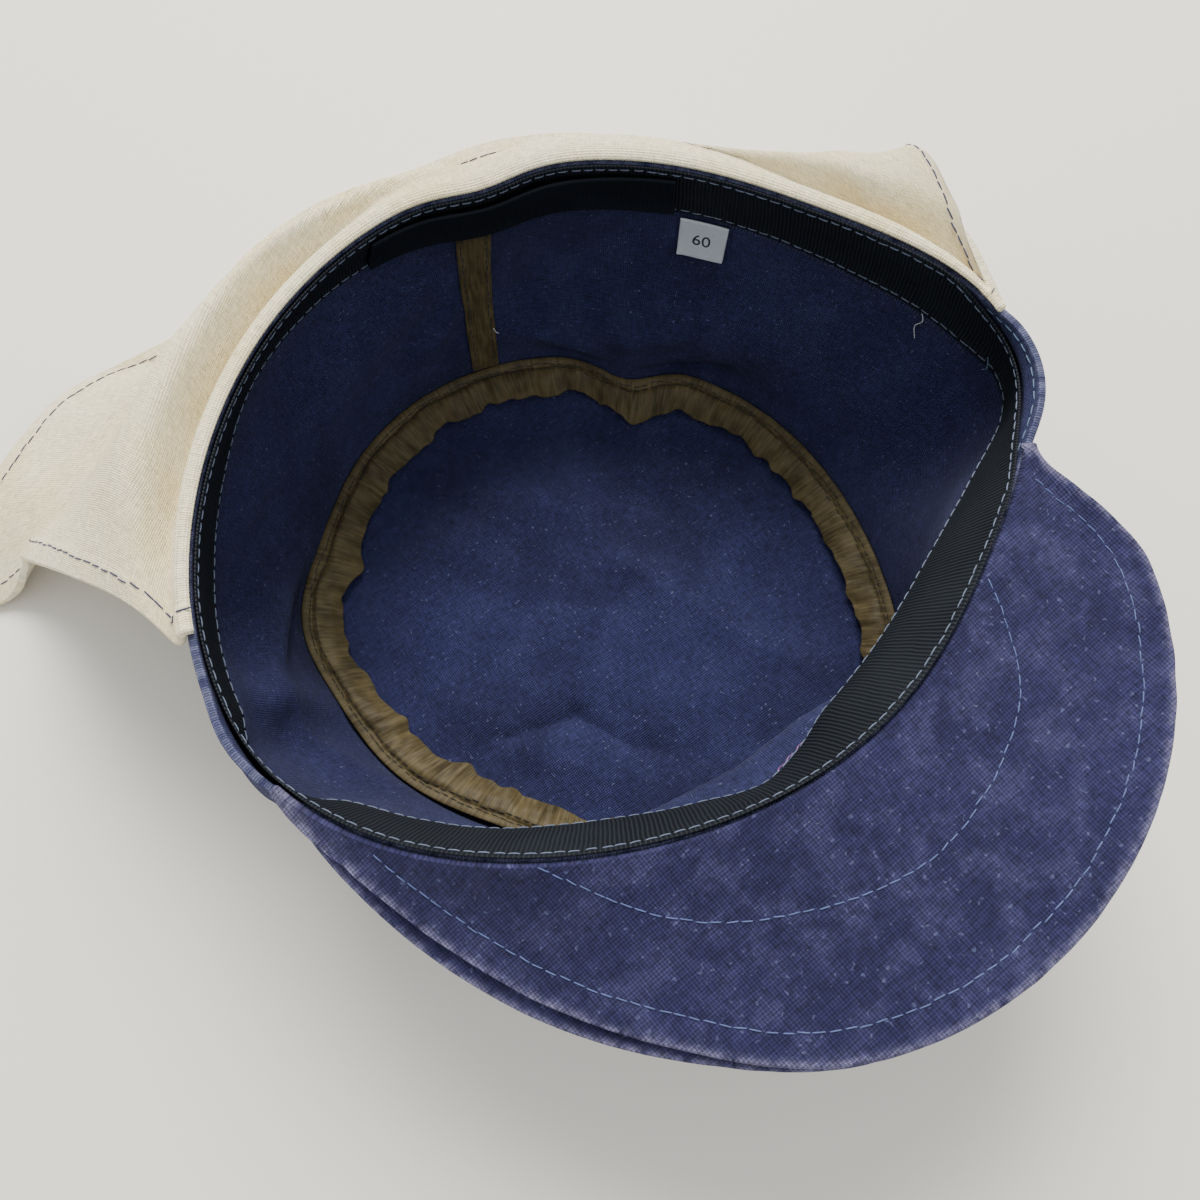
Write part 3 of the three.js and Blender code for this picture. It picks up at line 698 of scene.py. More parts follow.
# a dent's at is its angle, spread half its width, and out how far it pushes; a fold's height and depth are
# shares of the way down the wall, and tilt how far it climbs; the last ten folds are finer creases
wall = {
    "thick": 1.6, "gap": 0.35, "bandGap": 0.6, "rimHeight": 91, "seamTop": 3.15, "bandWidth": 25,
    "columns": 400, "rows": 78, "probe": {"turn": 0.5, "slide": 0.006},
    "rimRadius": 97.7,
    "rimDents": table("at spread out", (0, 24, 19.5), (-97, 76, -20), (-168, 34, 9), (84, 8, -3.5)),
    "rimDips": table("at spread out", (-2, 32, -3.5)),
    "seamRadius": 82.6,
    "seamDents": table("at spread out", (-51, 31, 10.5), (59, 9, -7), (-137, 27, -10), (115, 44, 10),
                       (157, 14, 6)),
    "leans": table("at in", (-180, -1.7), (-175, -3.9), (-168, -4.2), (-164, -1.5), (-159, 4.5), (-151, 7),
                   (-139, 8), (-117, 8.6), (-97, 6.9), (-84, 4.8), (-74, 7.6), (-64, 11), (-38, 10.7),
                   (-22, 8.8), (-14, 4.6), (-6, -4), (0, -5.6), (6, -3.2), (20, -3.4), (34, -5), (60, -6),
                   (90, -7.5), (112, -9.2), (129, -9), (141, -6.4), (155, -4.1), (167, -2.8), (180, -1.7)),
    "belly": 2.5, "seamOut": 0.5, "seamUp": 6,
    "folds": table("at spread height tilt depth out",
                   (-82, 27, 0.47, 0, 0.15, -13), (52, 27, 0.72, 0.04, 0.1, -7),
                   (50, 25, 0.9, 0.02, 0.05, 3), (160, 26, 0.5, 0.1, 0.16, 5),
                   (160, 15, 0.72, -0.12, 0.08, -6), (-100, 50, 0.8, 0, 0.16, 5),
                   (112, 20, 0.62, 0.12, 0.1, -3), (14, 16, 0.6, -0.1, 0.12, -4),
                   (174, 4, 0.62, 0, 0.22, -3.8), (181, 4.5, 0.6, 0, 0.25, 2.6),
                   (150, 13, 0.5, -0.1, 0.05, -1.6), (-174, 12, 0.78, 0.12, 0.05, -1.8),
                   (-150, 5, 0.55, 0, 0.2, 1.6), (30, 5, 0.55, 0.1, 0.2, -1.5),
                   (72, 9, 0.83, -0.05, 0.05, -3.2), (50, 12, 0.85, 0.06, 0.05, -3.4),
                   (96, 7, 0.7, 0.1, 0.06, -2), (-60, 6, 0.8, 0.1, 0.07, -2.4)),
    "foldFade": (0.29, 0.42),
    "rumples": table("size height seed", (16, 0.5, 3), (7.2, 0.25, 4)),
    "rumpleFrom": (0.22, 0.45), "rumpleTo": (0.9, 1.0),
    "flares": table("at spread out", (-6, 9, 3), (-173, 6, 1.5)), "flareFoot": 0.06,
    "trims": table("at down", (-180, 0), (-174, 0.2), (-166, 2.4), (-120, 2.0), (-100, 1.8), (-30, 1.8),
                   (-15, 2.4), (-10, 0.2), (-4, 0), (0, 0.1), (4, 1.9), (12, 1.9), (22, 1.2), (166, 1.2),
                   (172, 0.1), (180, 0)),
    "edgeThicker": 0.5, "edgeFade": (0.03, 0.08), "wear": {"most": 0.5, "wide": 0.012},
}


def rimAt(angle):
    return withDents(wall["rimRadius"], wall["rimDents"], angle)


def rimUp(angle):
    return withDents(wall["rimHeight"], wall["rimDips"], angle)


def seamAt(angle):
    return withDents(wall["seamRadius"], wall["seamDents"], angle)


# from the rim in to the foot of the sweatband, out over the belly of the wall, and down to the seam
def wallLines(angles):
    lean = alongRows(wall["leans"], "in", angleApart(angles, 0))
    rim, seam, up = rimAt(angles), seamAt(angles), rimUp(angles)
    foot = up - np.sqrt(wall["bandWidth"] ** 2 - lean**2)
    top = np.full_like(seam, wall["seamTop"])
    places = [(rim, up), (rim - lean, foot), ((rim - lean + seam) / 2 + wall["belly"], (foot + top) / 2),
              (seam + wall["seamOut"], top + wall["seamUp"]), (seam, top)]
    return smoothLine([np.stack([radius, 0 * radius, height], axis=-1) for radius, height in places])


# points on the middle of the wall; shares run from 0 at the rim to 1 at the seam
def wallGrid(angles, shares, off=0.0):
    def surface(turn, slide):
        at = angles + turn
        spots = evenly(wallLines(at), np.clip(shares + slide, 0, 1))
        down = shares[:, None]
        push = 0
        for fold in wall["folds"]:
            apart = angleApart(at, fold["at"]) / fold["spread"]
            away = (down + slide - fold["height"] - fold["tilt"] * apart) / fold["depth"]
            push = push + fold["out"] * np.exp(-(apart**2) - away**2)
        push = push * smoothStep(down + slide, *wall["foldFade"])
        points = atAngle(at[None, :], spots[..., 0] + push, spots[..., 2])
        calm = smoothStep(down, *wall["rumpleFrom"]) * (1 - smoothStep(down, *wall["rumpleTo"]))
        radial = atAngle(at, 1.0, 0.0)[None, :, :]
        return points + radial * (rumpled(points, wall["rumples"]) * calm)[..., None]

    turn, slide = wall["probe"]["turn"], wall["probe"]["slide"]
    across = surface(turn, 0) - surface(-turn, 0)
    down = surface(0, slide) - surface(0, -slide)
    return surface(0, 0) + unit(np.cross(down, across)) * np.asarray(off)[..., None]


# the same cloth with its first row moved down each column by that column's own share of the way
def cutBack(grid, starts):
    rows = len(grid)
    starts = np.maximum(starts, 0)
    places = (starts + (1 - starts) * np.linspace(0, 1, rows)[:, None]) * (rows - 1)
    low = np.clip(np.floor(places).astype(int), 0, rows - 2)
    part = (places - low)[..., None]
    column = np.arange(grid.shape[1])
    return grid[low, column] * (1 - part) + grid[low + 1, column] * part


def fullTurn(count):
    return np.arange(count) * 360 / count


def makeWall():
    angles = fullTurn(wall["columns"])
    shares = np.linspace(0, 1, wall["rows"])
    grid = wallGrid(angles, shares)
    grid = cutBack(grid, alongRows(wall["trims"], "down", angleApart(angles, 0)) / runAlong(grid)[-1])
    flared = 1 - smoothStep(shares, 0, wall["flareFoot"])[:, None, None]
    grid = grid + flared * atAngle(angles, withDents(0, wall["flares"], angles), 0.0)
    down = shares[:, None] + 0 * angles
    thick = wall["thick"] + wall["edgeThicker"] * (1 - smoothStep(down, *wall["edgeFade"]))
    piece = clothPiece("crownWall", grid, thick, True, marks={"wear": wornBy(wall["wear"], down)})
    finished(piece, looks["navy"], "navy_canvas", "crown_side")
    return grid


wallCloth = makeWall()
print("crown wall made")

# share is how far down the wall the row runs; work is how its stitches differ from plain ones
wallRows = {
    "front": {"start": -128, "end": -38, "share": 0.335, "places": 200},
    "overlock": {"start": 5, "end": 46, "share": 0.294, "places": 120,
                 "work": {"seed": 9, "pitch": 0.95, "fill": 2.9, "thread": 0.3, "turned": True}},
    "rim": {"start": -17, "end": 6, "inset": 2.4, "work": {"above": 0.35}},
}


def wallRow(row, beside=0.01):
    angles = np.linspace(row["start"], row["end"], row["places"])
    grid = wallGrid(angles, row["share"] + np.linspace(-beside, beside, 3))
    return grid[1], gridNormals(grid)[1]


# rows of stitches below the front of the sweatband, across its foot at the back, and beside the bare rim
def sewWall():
    overlock, rim = wallRows["overlock"], wallRows["rim"]
    sewn("frontSeamStitches", wallRow(wallRows["front"]), "paleBlue", "middle", wall["thick"])
    sewn("overlockStitches", wallRow(overlock), "navyThread", "middle", wall["thick"], **overlock["work"])
    line, normals = lineIn(wallCloth, "top", rim["inset"], True)
    at = np.degrees(np.arctan2(line[:, 1], line[:, 0]))
    near = np.flatnonzero((at > rim["start"]) & (at < rim["end"]))
    near = near[np.argsort(at[near])]
    sewn("rimSeamStitches", (line[near], normals[near]), "paleBlue", "middle", wall["thick"], **rim["work"])


sewWall()

# grain is the way that the threads run; a crease's up is its height, or its depth where it is below 0
panel = {
    "thick": 1.6, "lift": 1.2, "lowest": 0.05, "lines": 150, "grain": ((0.988, -0.156), (0.156, 0.988)),
    "dome": {"x": -18, "y": -2, "spread": 48, "up": 5, "steep": 1.5},
    "fade": (0.62, 0.82), "turnUp": (0.92, 1),
    "creases": table("fromX fromY toX toY width up", (-60, 40, 0, 40, 14, 3.2), (0, 40, 12, 8, 14, 3.2),
                     (12, 8, 48, -44, 12, 3.4), (30, 34, 52, -8, 9, -3), (-44, -22, -22, -25, 6, -2.6),
                     (-22, -25, 2, -58, 6, -3)),
    "rumples": table("size height seed", (14, 0.5, 8), (6, 0.3, 9)),
}


def domeHeight(x, y):
    dome = panel["dome"]
    away = ((x - dome["x"]) ** 2 + (y - dome["y"]) ** 2) / dome["spread"] ** 2
    return dome["up"] * np.exp(-(away ** dome["steep"]))


# each crease is a straight ridge or furrow between two places
def creaseHeight(x, y):
    height = 0
    for crease in panel["creases"]:
        alongX, alongY = crease["toX"] - crease["fromX"], crease["toY"] - crease["fromY"]
        share = ((x - crease["fromX"]) * alongX + (y - crease["fromY"]) * alongY) / (alongX**2 + alongY**2)
        near = np.clip(share, 0, 1)
        away = np.hypot(x - crease["fromX"] - alongX * near, y - crease["fromY"] - alongY * near)
        height = height + crease["up"] * np.exp(-away / crease["width"])
    return height


# a square grid of points spread over the round panel, so that it needs no point in its middle
def makePanel():
    side = np.linspace(-1, 1, panel["lines"])
    a, b = np.meshgrid(side, side)
    x, y = a * np.sqrt(1 - b**2 / 2), b * np.sqrt(1 - a**2 / 2)
    shares, angles = np.hypot(x, y), np.degrees(np.arctan2(y, x))
    grid = atAngle(angles, (seamAt(angles) + panel["thick"] / 2) * shares, 0.0)
    x, y = grid[..., 0], grid[..., 1]
    calm = 1 - smoothStep(shares, *panel["fade"])
    relief = domeHeight(x, y) + creaseHeight(x, y) + rumpled(grid, panel["rumples"])
    up = np.maximum(relief, panel["lowest"]) * calm + panel["lift"] * smoothStep(shares, *panel["turnUp"])
    grid[..., 2] = up + panel["thick"] / 2
    uv = grid[..., :2] @ np.array(panel["grain"])
    piece = clothPiece("topPanel", grid, panel["thick"], uv=uv, marks={"wear": 0 * x})
    finished(piece, looks["navy"], "navy_canvas", "crown_top")


makePanel()
print("top panel made")


# sweatband, elastic, tapes and tab on the inside of the wall

# thick is the room that a piece takes, cloth its own thickness, and starts how far down the ribbon begins
band = {
    "thick": 1.0, "cloth": 0.55, "to": 0.28, "columns": 520, "rows": 26,
    "pucker": {"out": 0.35, "size": 7, "seed": 12, "squash": (1, 1, 0.2)},
    "starts": table("at down", (-180, 0.05), (-172, 0.06), (-164, 0), (-24, 0), (-12, 0.16), (-2, 0.2),
                    (5, 0.12), (12, 0), (166, 0), (174, 0.04), (180, 0.05)),
    "stitchRows": (("ribbonTopStitches", "top", 1.7), ("ribbonFootStitches", "bottom", 1.5)),
    "work": {"above": 0.12},
}


def makeBand():
    angles = fullTurn(band["columns"])
    off = -(wall["thick"] / 2 + wall["bandGap"] + band["thick"] / 2)
    grid = wallGrid(angles, np.linspace(0, band["to"], band["rows"]), off)
    grid = cutBack(grid, alongRows(band["starts"], "down", angleApart(angles, 0)))
    pucker = band["pucker"]
    calm = np.sin(np.pi * np.linspace(0, 1, band["rows"])[:, None]) ** 0.5
    swell = softNoise(grid * np.array(pucker["squash"]), pucker["size"], pucker["seed"]) * 0.5 + 0.5
    inward = facing(grid, gridNormals(grid, True), "middle")
    grid = grid + inward * (swell * calm * pucker["out"])[..., None]
    piece = clothPiece("sweatRibbon", grid, band["cloth"], True)
    finished(piece, looks["ribbon"], "black_ribbon", "sweatband")
    for seed, (name, side, inset) in enumerate(band["stitchRows"], 1):
        row = lineIn(grid, side, inset, True)
        sewn(name, row, "greyBlue", "middle", band["cloth"], seed, **band["work"])


makeBand()

elastic = {"start": 53, "end": 103, "from": 0.035, "to": 0.275, "slack": 1.2, "thick": 1.0,
           "columns": 110, "rows": 24}


def makeElastic():
    near = wall["thick"] / 2 + wall["bandGap"] + band["thick"] + wall["gap"] + elastic["thick"] / 2
    along = np.linspace(0, 1, elastic["columns"])
    angles = elastic["start"] + (elastic["end"] - elastic["start"]) * along
    shares = np.linspace(elastic["from"], elastic["to"], elastic["rows"])
    off = -near - elastic["slack"] * np.sin(np.pi * along) + 0 * shares[:, None]
    piece = clothPiece("backElasticTape", wallGrid(angles, shares, off), elastic["thick"])
    finished(piece, looks["elastic"], "black_elastic", "back_elastic")


makeElastic()

strip = {"topAngle": 85.5, "footAngle": 89.5, "width": 8.5, "top": 0.29, "foot": 0.925, "thick": 1.0,
         "rows": 60, "columns": 12, "stitchIn": 1.4, "work": {"pitch": 2.6}}


def makeStrip():
    down = np.linspace(0, 1, strip["rows"])
    shares = strip["top"] + (strip["foot"] - strip["top"]) * down
    middle = strip["topAngle"] + (strip["footAngle"] - strip["topAngle"]) * down
    turn = np.degrees(strip["width"] / 2 / seamAt(middle))
    off = -(wall["thick"] / 2 + wall["gap"] + strip["thick"] / 2)
    across = np.linspace(-1, 1, strip["columns"])
    rows = [wallGrid(middle[k] + turn[k] * across, shares[k:k + 1], off)[0] for k in range(len(down))]
    grid = np.stack(rows)
    piece = clothPiece("backSeamStrip", grid, strip["thick"])
    finished(piece, looks["tape"], "brown_tape", "seam_binding_back")
    for side, seed in (("left", 3), ("right", 4)):
        sewn(side + "StripStitches", lineIn(grid, side, strip["stitchIn"]), "brownThread", "middle",
             strip["thick"], seed, **strip["work"])


makeStrip()

# the outer edge is sewn near the seam; the inner one is gathered, tucked, ragged and kinked
ring = {
    "outerIn": 0.8, "outerUp": 9, "innerIn": 12, "innerUp": 5, "arch": 1.6, "thick": 0.8,
    "columns": 960, "rows": 24, "gathers": 24, "gather": 0.7,
    "rumples": table("size height seed", (3.2, 0.75, 21), (7, 0.45, 22)), "outerRumple": 0.35,
    "groove": {"at": 0.24, "width": 0.09, "deep": 1.1},
    "tucks": table("size height seed", (2.0, 0.8, 24), (4.6, 1.1, 25)), "tuckFrom": (0.1, 0.9),
    "ragged": table("size height seed", (4, 1.2, 27)),
    "kinks": table("at spread out", (144, 3, -4), (-157, 3, -3), (-114, 3, -4), (66, 6, 2.5), (53, 5, -3.5),
                   (112, 3, -2), (30, 4, 1.5), (-178, 5, -2)),
    "stitchIn": (2.2, 4.6), "work": {"pitch": 2.6, "sway": 0.2},
}


def makeRing():
    angles = fullTurn(ring["columns"])
    across = np.linspace(0, 1, ring["rows"])[:, None]
    inward = ring["outerIn"] + (ring["innerIn"] - ring["outerIn"]) * across
    wave = np.cos(np.radians(angles * ring["gathers"])) * ring["gather"] * across
    rise = ring["innerUp"] - ring["outerUp"]
    up = ring["outerUp"] + rise * across + np.sin(np.pi * across) * ring["arch"]
    grid = atAngle(angles, seamAt(angles) - inward, up + wave)
    least, groove = ring["outerRumple"], ring["groove"]
    grid[..., 2] += rumpled(grid, ring["rumples"]) * (least + (1 - least) * across)
    grid[..., 2] -= groove["deep"] * np.exp(-((across - groove["at"]) / groove["width"]) ** 2)
    run = runAlong(grid[ring["rows"] // 2, :, None])[:, 0]
    along = np.stack([run, 0 * run, 0 * run], axis=-1)
    grid[..., 2] += rumpled(along, ring["tucks"]) * smoothStep(across, *ring["tuckFrom"])
    edge = rumpled(along, ring["ragged"]) + withDents(0, ring["kinks"], angles)
    grid[..., :2] *= (1 + edge * across / seamAt(angles))[..., None]
    grid[..., 2] = np.maximum(grid[..., 2], panel["thick"] + ring["thick"] / 2 + wall["gap"])
    piece = clothPiece("ringTape", grid, ring["thick"], True)
    finished(piece, looks["tape"], "brown_tape", "seam_binding_ring")
    for row, inset in enumerate(ring["stitchIn"]):
        sewn(f"ringStitches{row + 1}", lineIn(grid, "top", inset, True), "brownThread", "up", ring["thick"],
             5 + row, **ring["work"])


makeRing()

# the number's size is a share of the tab's
tab = {"from": 44, "to": 52, "top": 0.3, "foot": 0.45, "standOff": 1.0, "thick": 1.0, "cloth": 0.8,
       "rows": 20, "columns": 20, "number": {"text": "60", "size": 0.4, "halfThick": 0.04, "above": 0.05}}


def makeTab():
    off = -(wall["thick"] / 2 + tab["standOff"] + tab["thick"] / 2)
    grid = wallGrid(np.linspace(tab["from"], tab["to"], tab["columns"]),
                    np.linspace(tab["top"], tab["foot"], tab["rows"]), off)
    piece = clothPiece("sizeTab", grid, tab["cloth"], marks={"wear": np.zeros(grid.shape[:2])})
    finished(piece, looks["satin"], "white_satin", "size_label")
    printNumber(grid)


# the size, woven into the tab: flat figures set into its grid, across and down
def printNumber(grid):
    number = tab["number"]
    bpy.ops.object.text_add()
    text = bpy.context.object
    text.data.body = number["text"]
    text.data.size = 1
    text.data.extrude = number["halfThick"]
    bpy.ops.object.convert(target="MESH")
    spots = np.array([v.co for v in text.data.vertices])
    middle = (spots.min(axis=0) + spots.max(axis=0))[:2] / 2
    share = (spots[:, :2] - middle) * number["size"] + 0.5
    rows, columns = grid.shape[:2]
    place = np.stack([(1 - share[:, 1]) * (rows - 1), (1 - share[:, 0]) * (columns - 1)])
    low = np.clip(np.floor(place).astype(int), 0, np.array([[rows - 2], [columns - 2]]))
    part = (place - low)[..., None]

    def on(values):
        top = values[low[0], low[1]] * (1 - part[1]) + values[low[0], low[1] + 1] * part[1]
        foot = values[low[0] + 1, low[1]] * (1 - part[1]) + values[low[0] + 1, low[1] + 1] * part[1]
        return top * (1 - part[0]) + foot * part[0]

    normals = facing(grid, gridNormals(grid), "middle")
    placed = on(grid) + on(normals) * (tab["cloth"] / 2 + number["above"] + spots[:, 2:])
    text.data.vertices.foreach_set("co", ((placed + crownMiddle) * mm).astype(np.float32).ravel())
    text.name = "tabNumber"
    finished(text, looks["ink"], "black_ribbon")
    bpy.ops.object.select_all(action="DESELECT")


makeTab()
print("band, elastic, tapes and tab made")


# the peak: two cloths sewn together round their edge

# reach is how far the peak stands out from the rim, and shy how far short of that its upper cloth stops
peak = {
    "thick": 1.8, "sag": {"down": 2.5, "fullReach": 20}, "inner": -0.7, "outer": 0.9,
    "rows": 54, "columns": 240,
    "layers": table("name node side start end inner", ("peakUpper", "peak_under", 1, -165, -15.4, -1.2),
                    ("peakLower", "peak_outer", -1, -158, -21, 2.1)),
    "shape": table("at reach edgeHeight", (-167, -1.9, 88.4), (-162, 0.6, 87), (-148, 11, 82),
                   (-136, 21.6, 76), (-122, 33.6, 74), (-107, 44.6, 78), (-92, 54.6, 84), (-74, 58.6, 87),
                   (-56, 55.6, 87), (-43, 48.6, 86), (-31, 35.6, 86), (-24, 20, 86), (-19, 6, 86),
                   (-16.5, 0.4, 86.3), (-15, -1.4, 86.5)),
    "shy": table("at in", (-165, 0), (-152, 2.4), (-132, 4.2), (-112, 3.2), (-96, 0.8), (-84, 0), (-15, 0)),
    "shyLeastReach": 8,
    "rumples": table("size height seed", (17, 0.5, 31), (8, 0.25, 32)),
    "puckers": table("size height seed", (4.5, 0.28, 33)), "puckerFade": (10, 6),
    "edgeStitch": {"inset": 7.7, "mostOfReach": 0.8, "leastReach": 10.01},
    "innerStitch": table("at out", (-127, 0), (-107, 16.2), (-89, 24), (-75, 28), (-61, 25), (-50, 19.5),
                         (-42, 10), (-36, 1)),
    "innerStitchLeast": 0.5, "wear": {"most": 0.6, "wide": 1.4}, "grain": ((0.97, -0.24), (0.24, 0.97)),
}


# out runs from 0 at the inner edge to 1 at the outer one; inner is how far out from the rim a layer begins
def peakPoints(angles, out, inner):
    reach = alongRows(peak["shape"], "reach", angles)
    edgeHeight = alongRows(peak["shape"], "edgeHeight", angles)
    whole = peak["outer"] + reach - peak["inner"]
    out = (inner - peak["inner"]) / whole * (1 - out) + out
    rise = rimUp(angles) - peak["thick"]
    sag = peak["sag"]["down"] * np.sin(np.pi * out) * np.minimum(reach / peak["sag"]["fullReach"], 1)
    height = rise + (edgeHeight - rise) * out - sag
    points = atAngle(angles, rimAt(angles) + peak["inner"] + whole * out, height)
    points[..., 2] += rumpled(points, peak["rumples"]) * np.sin(np.pi * np.clip(out, 0, 1))
    points[..., 2] += rumpled(points, peak["puckers"]) * smoothStep(reach * (1 - out), *peak["puckerFade"])
    return points


def makePeak():
    cloths = {}
    for layer in peak["layers"]:
        angles = np.linspace(layer["start"], layer["end"], peak["columns"])
        reach = alongRows(peak["shape"], "reach", angles)
        short = alongRows(peak["shy"], "in", angles) * (layer["side"] > 0)
        short = short / np.maximum(reach, peak["shyLeastReach"])
        out = np.linspace(0, 1, peak["rows"])[:, None] * (1 - short)
        middle = peakPoints(angles, out, layer["inner"])
        normal = gridNormals(middle)
        normal *= np.sign(normal[..., 2].mean())
        grid = middle + normal * layer["side"] * (peak["thick"] + wall["gap"]) / 2
        uv = grid[..., :2] @ np.array(peak["grain"])
        wear = wornBy(peak["wear"], reach * (1 - short - out))
        piece = clothPiece(layer["name"], grid, peak["thick"], uv=uv, marks={"wear": wear})
        finished(piece, looks["peak"], "faded_navy_canvas", layer["node"])
        cloths[layer["name"]] = grid
    return cloths


# stitches round the peak's edge and along its inner curve
def sewPeak(grid):
    edge, reach = peak["edgeStitch"], runAlong(grid)[-1]
    line, normals = lineIn(grid, "bottom", np.minimum(edge["inset"], reach * edge["mostOfReach"]))
    wide = reach > edge["leastReach"]
    sewn("peakEdgeStitches", (line[wide], normals[wide]), "peakThread", "up", peak["thick"], 11)
    angles = np.linspace(peak["layers"][0]["start"], peak["layers"][0]["end"], peak["columns"])
    ats = [row["at"] for row in peak["innerStitch"]]
    near = (angles > ats[0]) & (angles < ats[-1])
    out = np.maximum(alongRows(peak["innerStitch"], "out", angles), peak["innerStitchLeast"])
    line, normals = lineIn(grid, "top", out)
    sewn("peakInnerStitches", (line[near], normals[near]), "peakThread", "up", peak["thick"], 12)


sewPeak(makePeak()["peakUpper"])
print("peak made")


# the neck flap: each line hangs from the seam over a crease, a rolled crest, a knee and a foot to its hem

# in lines, a plain name is how far out and one with Up how high; heading is the way that the line hangs,
# swing how far the cloth turns where it lies, and lip and drop its turn over the rim
flap = {
    "thick": 1.3, "start": 3, "end": 171.5, "columns": 300, "rows": 125, "perSpan": 30,
    "inner": -0.7, "startUp": 0.2, "lipOut": 2.6, "lipUp": 1.2, "creaseOut": 7.6, "lyingUp": 1, "lying": 80,
    "hemHeight": 1.1, "hemIn": (6.2, 7.4), "hemThick": 1.1, "hemUp": 0.2,
    "rumples": table("size height seed", (22, 0.6, 41), (9, 0.3, 42), (4, 0.12, 43)), "rumpleFrom": (4, 22),
    "pleats": {"wide": 15, "tall": 60, "up": 1.0, "seed": 44, "from": (14, 34), "fromHem": (0, 12)},
    "wear": {"most": 0.25, "wide": 1.5},
    "stitchIn": 5.6, "work": {"pitch": 3.6, "fill": 0.9, "thread": 0.45},
    "tack": {"down": 9, "long": 7, "work": {"thread": 0.45}},
    "lines": table("at length heading swing lip drop crest crestUp knee kneeUp foot footUp ruck ruckUp",
                   (3, 158, 83, 0, 0.15, 0, 30, 90, 51.5, 85, 60, 14, 12, 12),
                   (12, 160, 80, 0, 0.6, 4.5, 22, 91, 37, 86, 46, 12, 12, 14),
                   (22, 164, 75, 0, 1, 7, 17, 91, 26, 85, 36, 10, 12, 16),
                   (34, 168, 68, 0, 1, 5, 13, 90.5, 17, 84, 28, 8, 12, 18),
                   (48, 172, 68, 0, 1, 1.5, 8.5, 90, 11.5, 80, 21, 6, 13, 20),
                   (62, 174, 76, 0, 1, 0.5, 7.5, 90, 11, 76, 20, 6, 13, 20),
                   (90, 176, 95, 0, 1, 0.5, 9.5, 90.5, 14, 72, 22, 6, 13, 22),
                   (104, 176, 104, 12, 1, 4.5, 12, 91.5, 17, 70, 26, 7, 14, 21),
                   (115, 176, 110, 25, 1, 9.5, 15, 92.5, 23.5, 62, 31.5, 8, 15, 20),
                   (135, 175, 122, 20, 1, 13, 17, 92, 33, 62, 46.5, 14, 30, 12),
                   (152, 174, 127, 30, 1, 12.5, 19, 90.5, 44, 60, 63, 16, 30, 9),
                   (171.5, 172, 128, 45, 0.7, 4.5, 20, 84, 62, 60, 86, 22, 14, 4)),
}


def flapLines(angles, row):
    start = atAngle(angles, rimAt(angles) + flap["inner"], 0.0)
    outward = atAngle(angles, 1.0, 0.0)
    hang = atAngle(row["heading"], 1.0, 0.0)
    trail = atAngle(row["heading"] + row["swing"], 1.0, 0.0)

    def place(out, up, way=hang, base=start):
        spot = base + way * np.broadcast_to(out, angles.shape)[:, None]
        spot[:, 2] = up
        return spot

    rim, low, foot = rimUp(angles), flap["hemHeight"], place(row["foot"], 0.0)
    return smoothLine([
        place(0, rim + flap["startUp"]), place(flap["lipOut"] * row["lip"], rim + flap["lipUp"], outward),
        place(flap["creaseOut"] * row["lip"], rim - row["drop"], outward),
        place(row["crest"], row["crestUp"]), place(row["knee"], row["kneeUp"]),
        place(row["foot"], row["footUp"]),
        place(row["ruck"], row["ruckUp"], trail, foot),
        place(row["ruck"] * 2, low + flap["lyingUp"], trail, foot),
        place(row["ruck"] * 2 + flap["lying"], low, trail, foot)], flap["perSpan"])


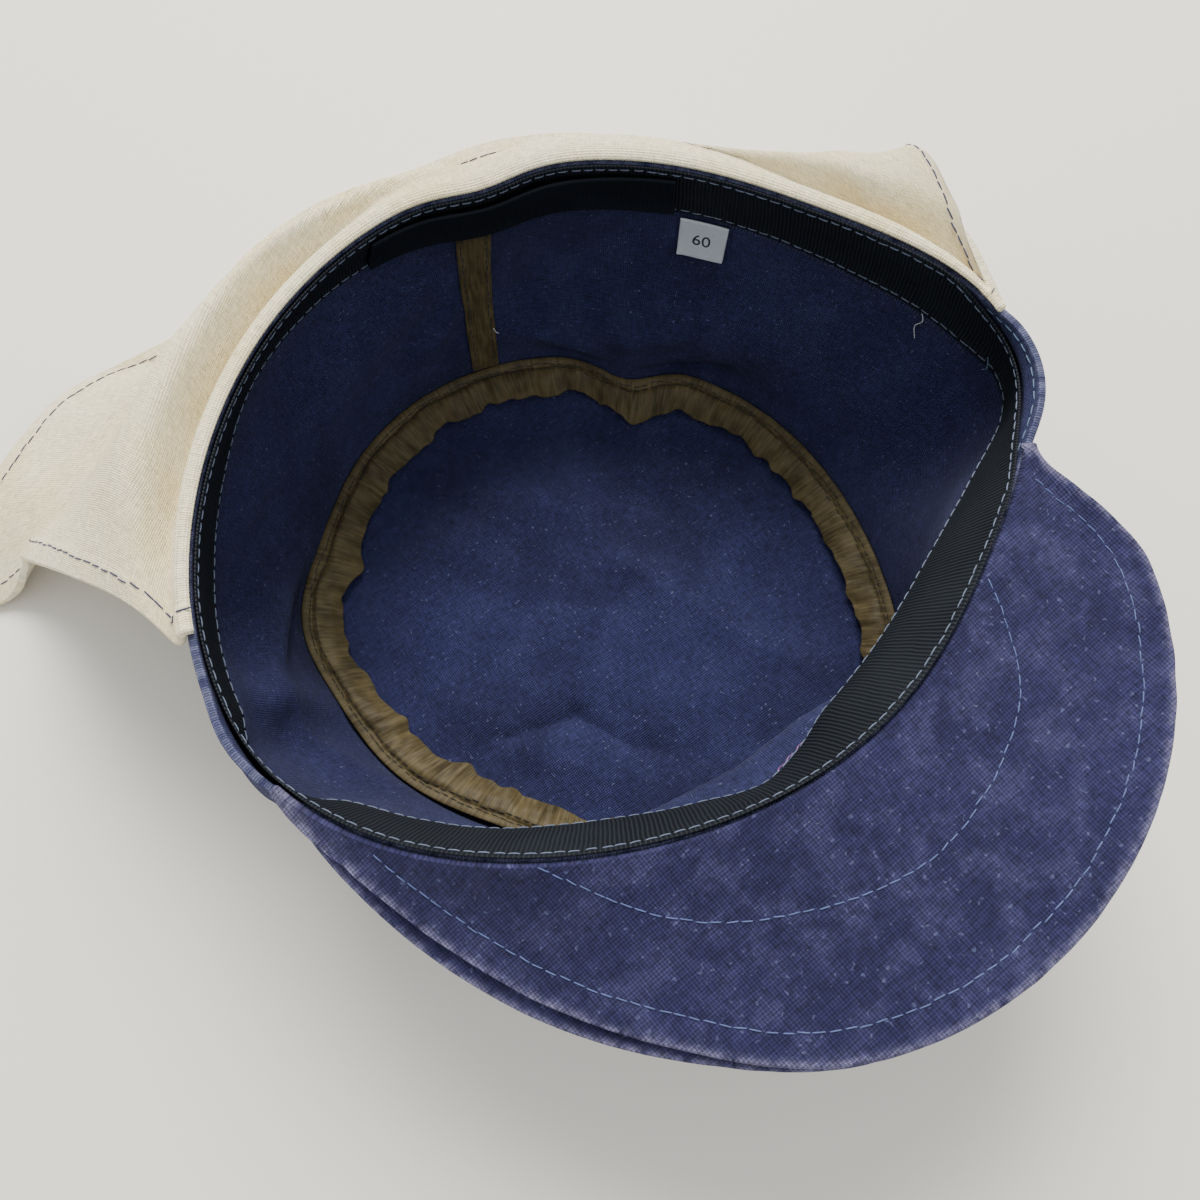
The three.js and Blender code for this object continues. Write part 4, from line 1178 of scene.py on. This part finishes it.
def makeFlap():
    angles = np.linspace(flap["start"], flap["end"], flap["columns"])
    row = {key: alongRows(flap["lines"], key, angles) for key in flap["lines"][0] if key != "at"}
    grid = evenly(flapLines(angles, row), np.linspace(0, 1, flap["rows"]), row["length"])
    down = runAlong(grid)
    left = runAlong(grid.transpose(1, 0, 2)).T
    fromHem = np.minimum(np.minimum(left, left[:, -1:] - left), down[-1:] - down)
    hem = 1 - smoothStep(fromHem, *flap["hemIn"])
    pleats = flap["pleats"]
    folded = np.stack([left / pleats["wide"], down / pleats["tall"], 0 * down], axis=-1)
    folded = pleats["up"] * softNoise(folded, 1, pleats["seed"]) * smoothStep(down, *pleats["from"])
    wave = rumpled(grid, flap["rumples"]) + folded * smoothStep(fromHem, *pleats["fromHem"])
    grid = grid + gridNormals(grid) * (wave * smoothStep(down, *flap["rumpleFrom"]))[..., None]
    grid[..., 2] = np.maximum(grid[..., 2], flap["hemHeight"] + flap["hemUp"] * hem)
    across = np.linspace(0, left[flap["rows"] // 3, -1], flap["columns"])
    uv = np.stack([np.broadcast_to(across, down.shape), down], axis=-1)
    thick, wear = flap["thick"] + flap["hemThick"] * hem, wornBy(flap["wear"], fromHem)
    piece = clothPiece("neckFlapCloth", grid, thick, uv=uv, marks={"wear": wear})
    finished(piece, looks["cream"], "cream_cotton", "neck_flap")
    sewFlap(grid, down, left)


# a short tack below the flap's first corner, and stitches along its hems
def sewFlap(grid, down, left):
    thick, tack = flap["thick"] + flap["hemThick"], flap["tack"]
    at = np.searchsorted(down[:, 0], tack["down"])
    near = left[at] < tack["long"]
    row = grid[at, near], gridNormals(grid)[at, near]
    sewn("tackStitches", row, "navyThread", "up", thick, **tack["work"])
    for side, seed in (("left", 21), ("right", 22), ("bottom", 23)):
        sewn(side + "HemStitches", lineIn(grid, side, flap["stitchIn"]), "navyThread", "up", thick, seed,
             **flap["work"])


makeFlap()
print("neck flap made")

# loose ends of thread: angle round the crown, share down the wall, and how far off the cloth
looseEnds = {
    "looseEndBack": ("whiteThread", (13, 0.27, 1.9), (12, 0.3, 2.4), (12.5, 0.335, 2.2), (11.5, 0.37, 2.6)),
    "looseEndRim": ("paleBlue", (2, 0.24, 2.4), (1, 0.27, 3.2), (1.5, 0.29, 3.0)),
    "looseEndFront": ("pinkThread", (-80.5, 0.3, 1.6), (-79, 0.318, 2.6), (-77.5, 0.298, 2.4),
                      (-76, 0.322, 2.5), (-74.5, 0.3, 2.2), (-73, 0.312, 2.5), (-71.5, 0.292, 2.0)),
    "looseEndPanel": ("whiteThread", (86, 0.74, 2.2), (85.6, 0.755, 2.3), (85.2, 0.76, 2.2)),
}


def makeLooseEnds():
    for name, (look, *ends) in looseEnds.items():
        places = [wallGrid(np.array([at]), np.array([share]), -off)[0, 0] for at, share, off in ends]
        strand(name, places, look)


makeLooseEnds()
print("loose ends made")
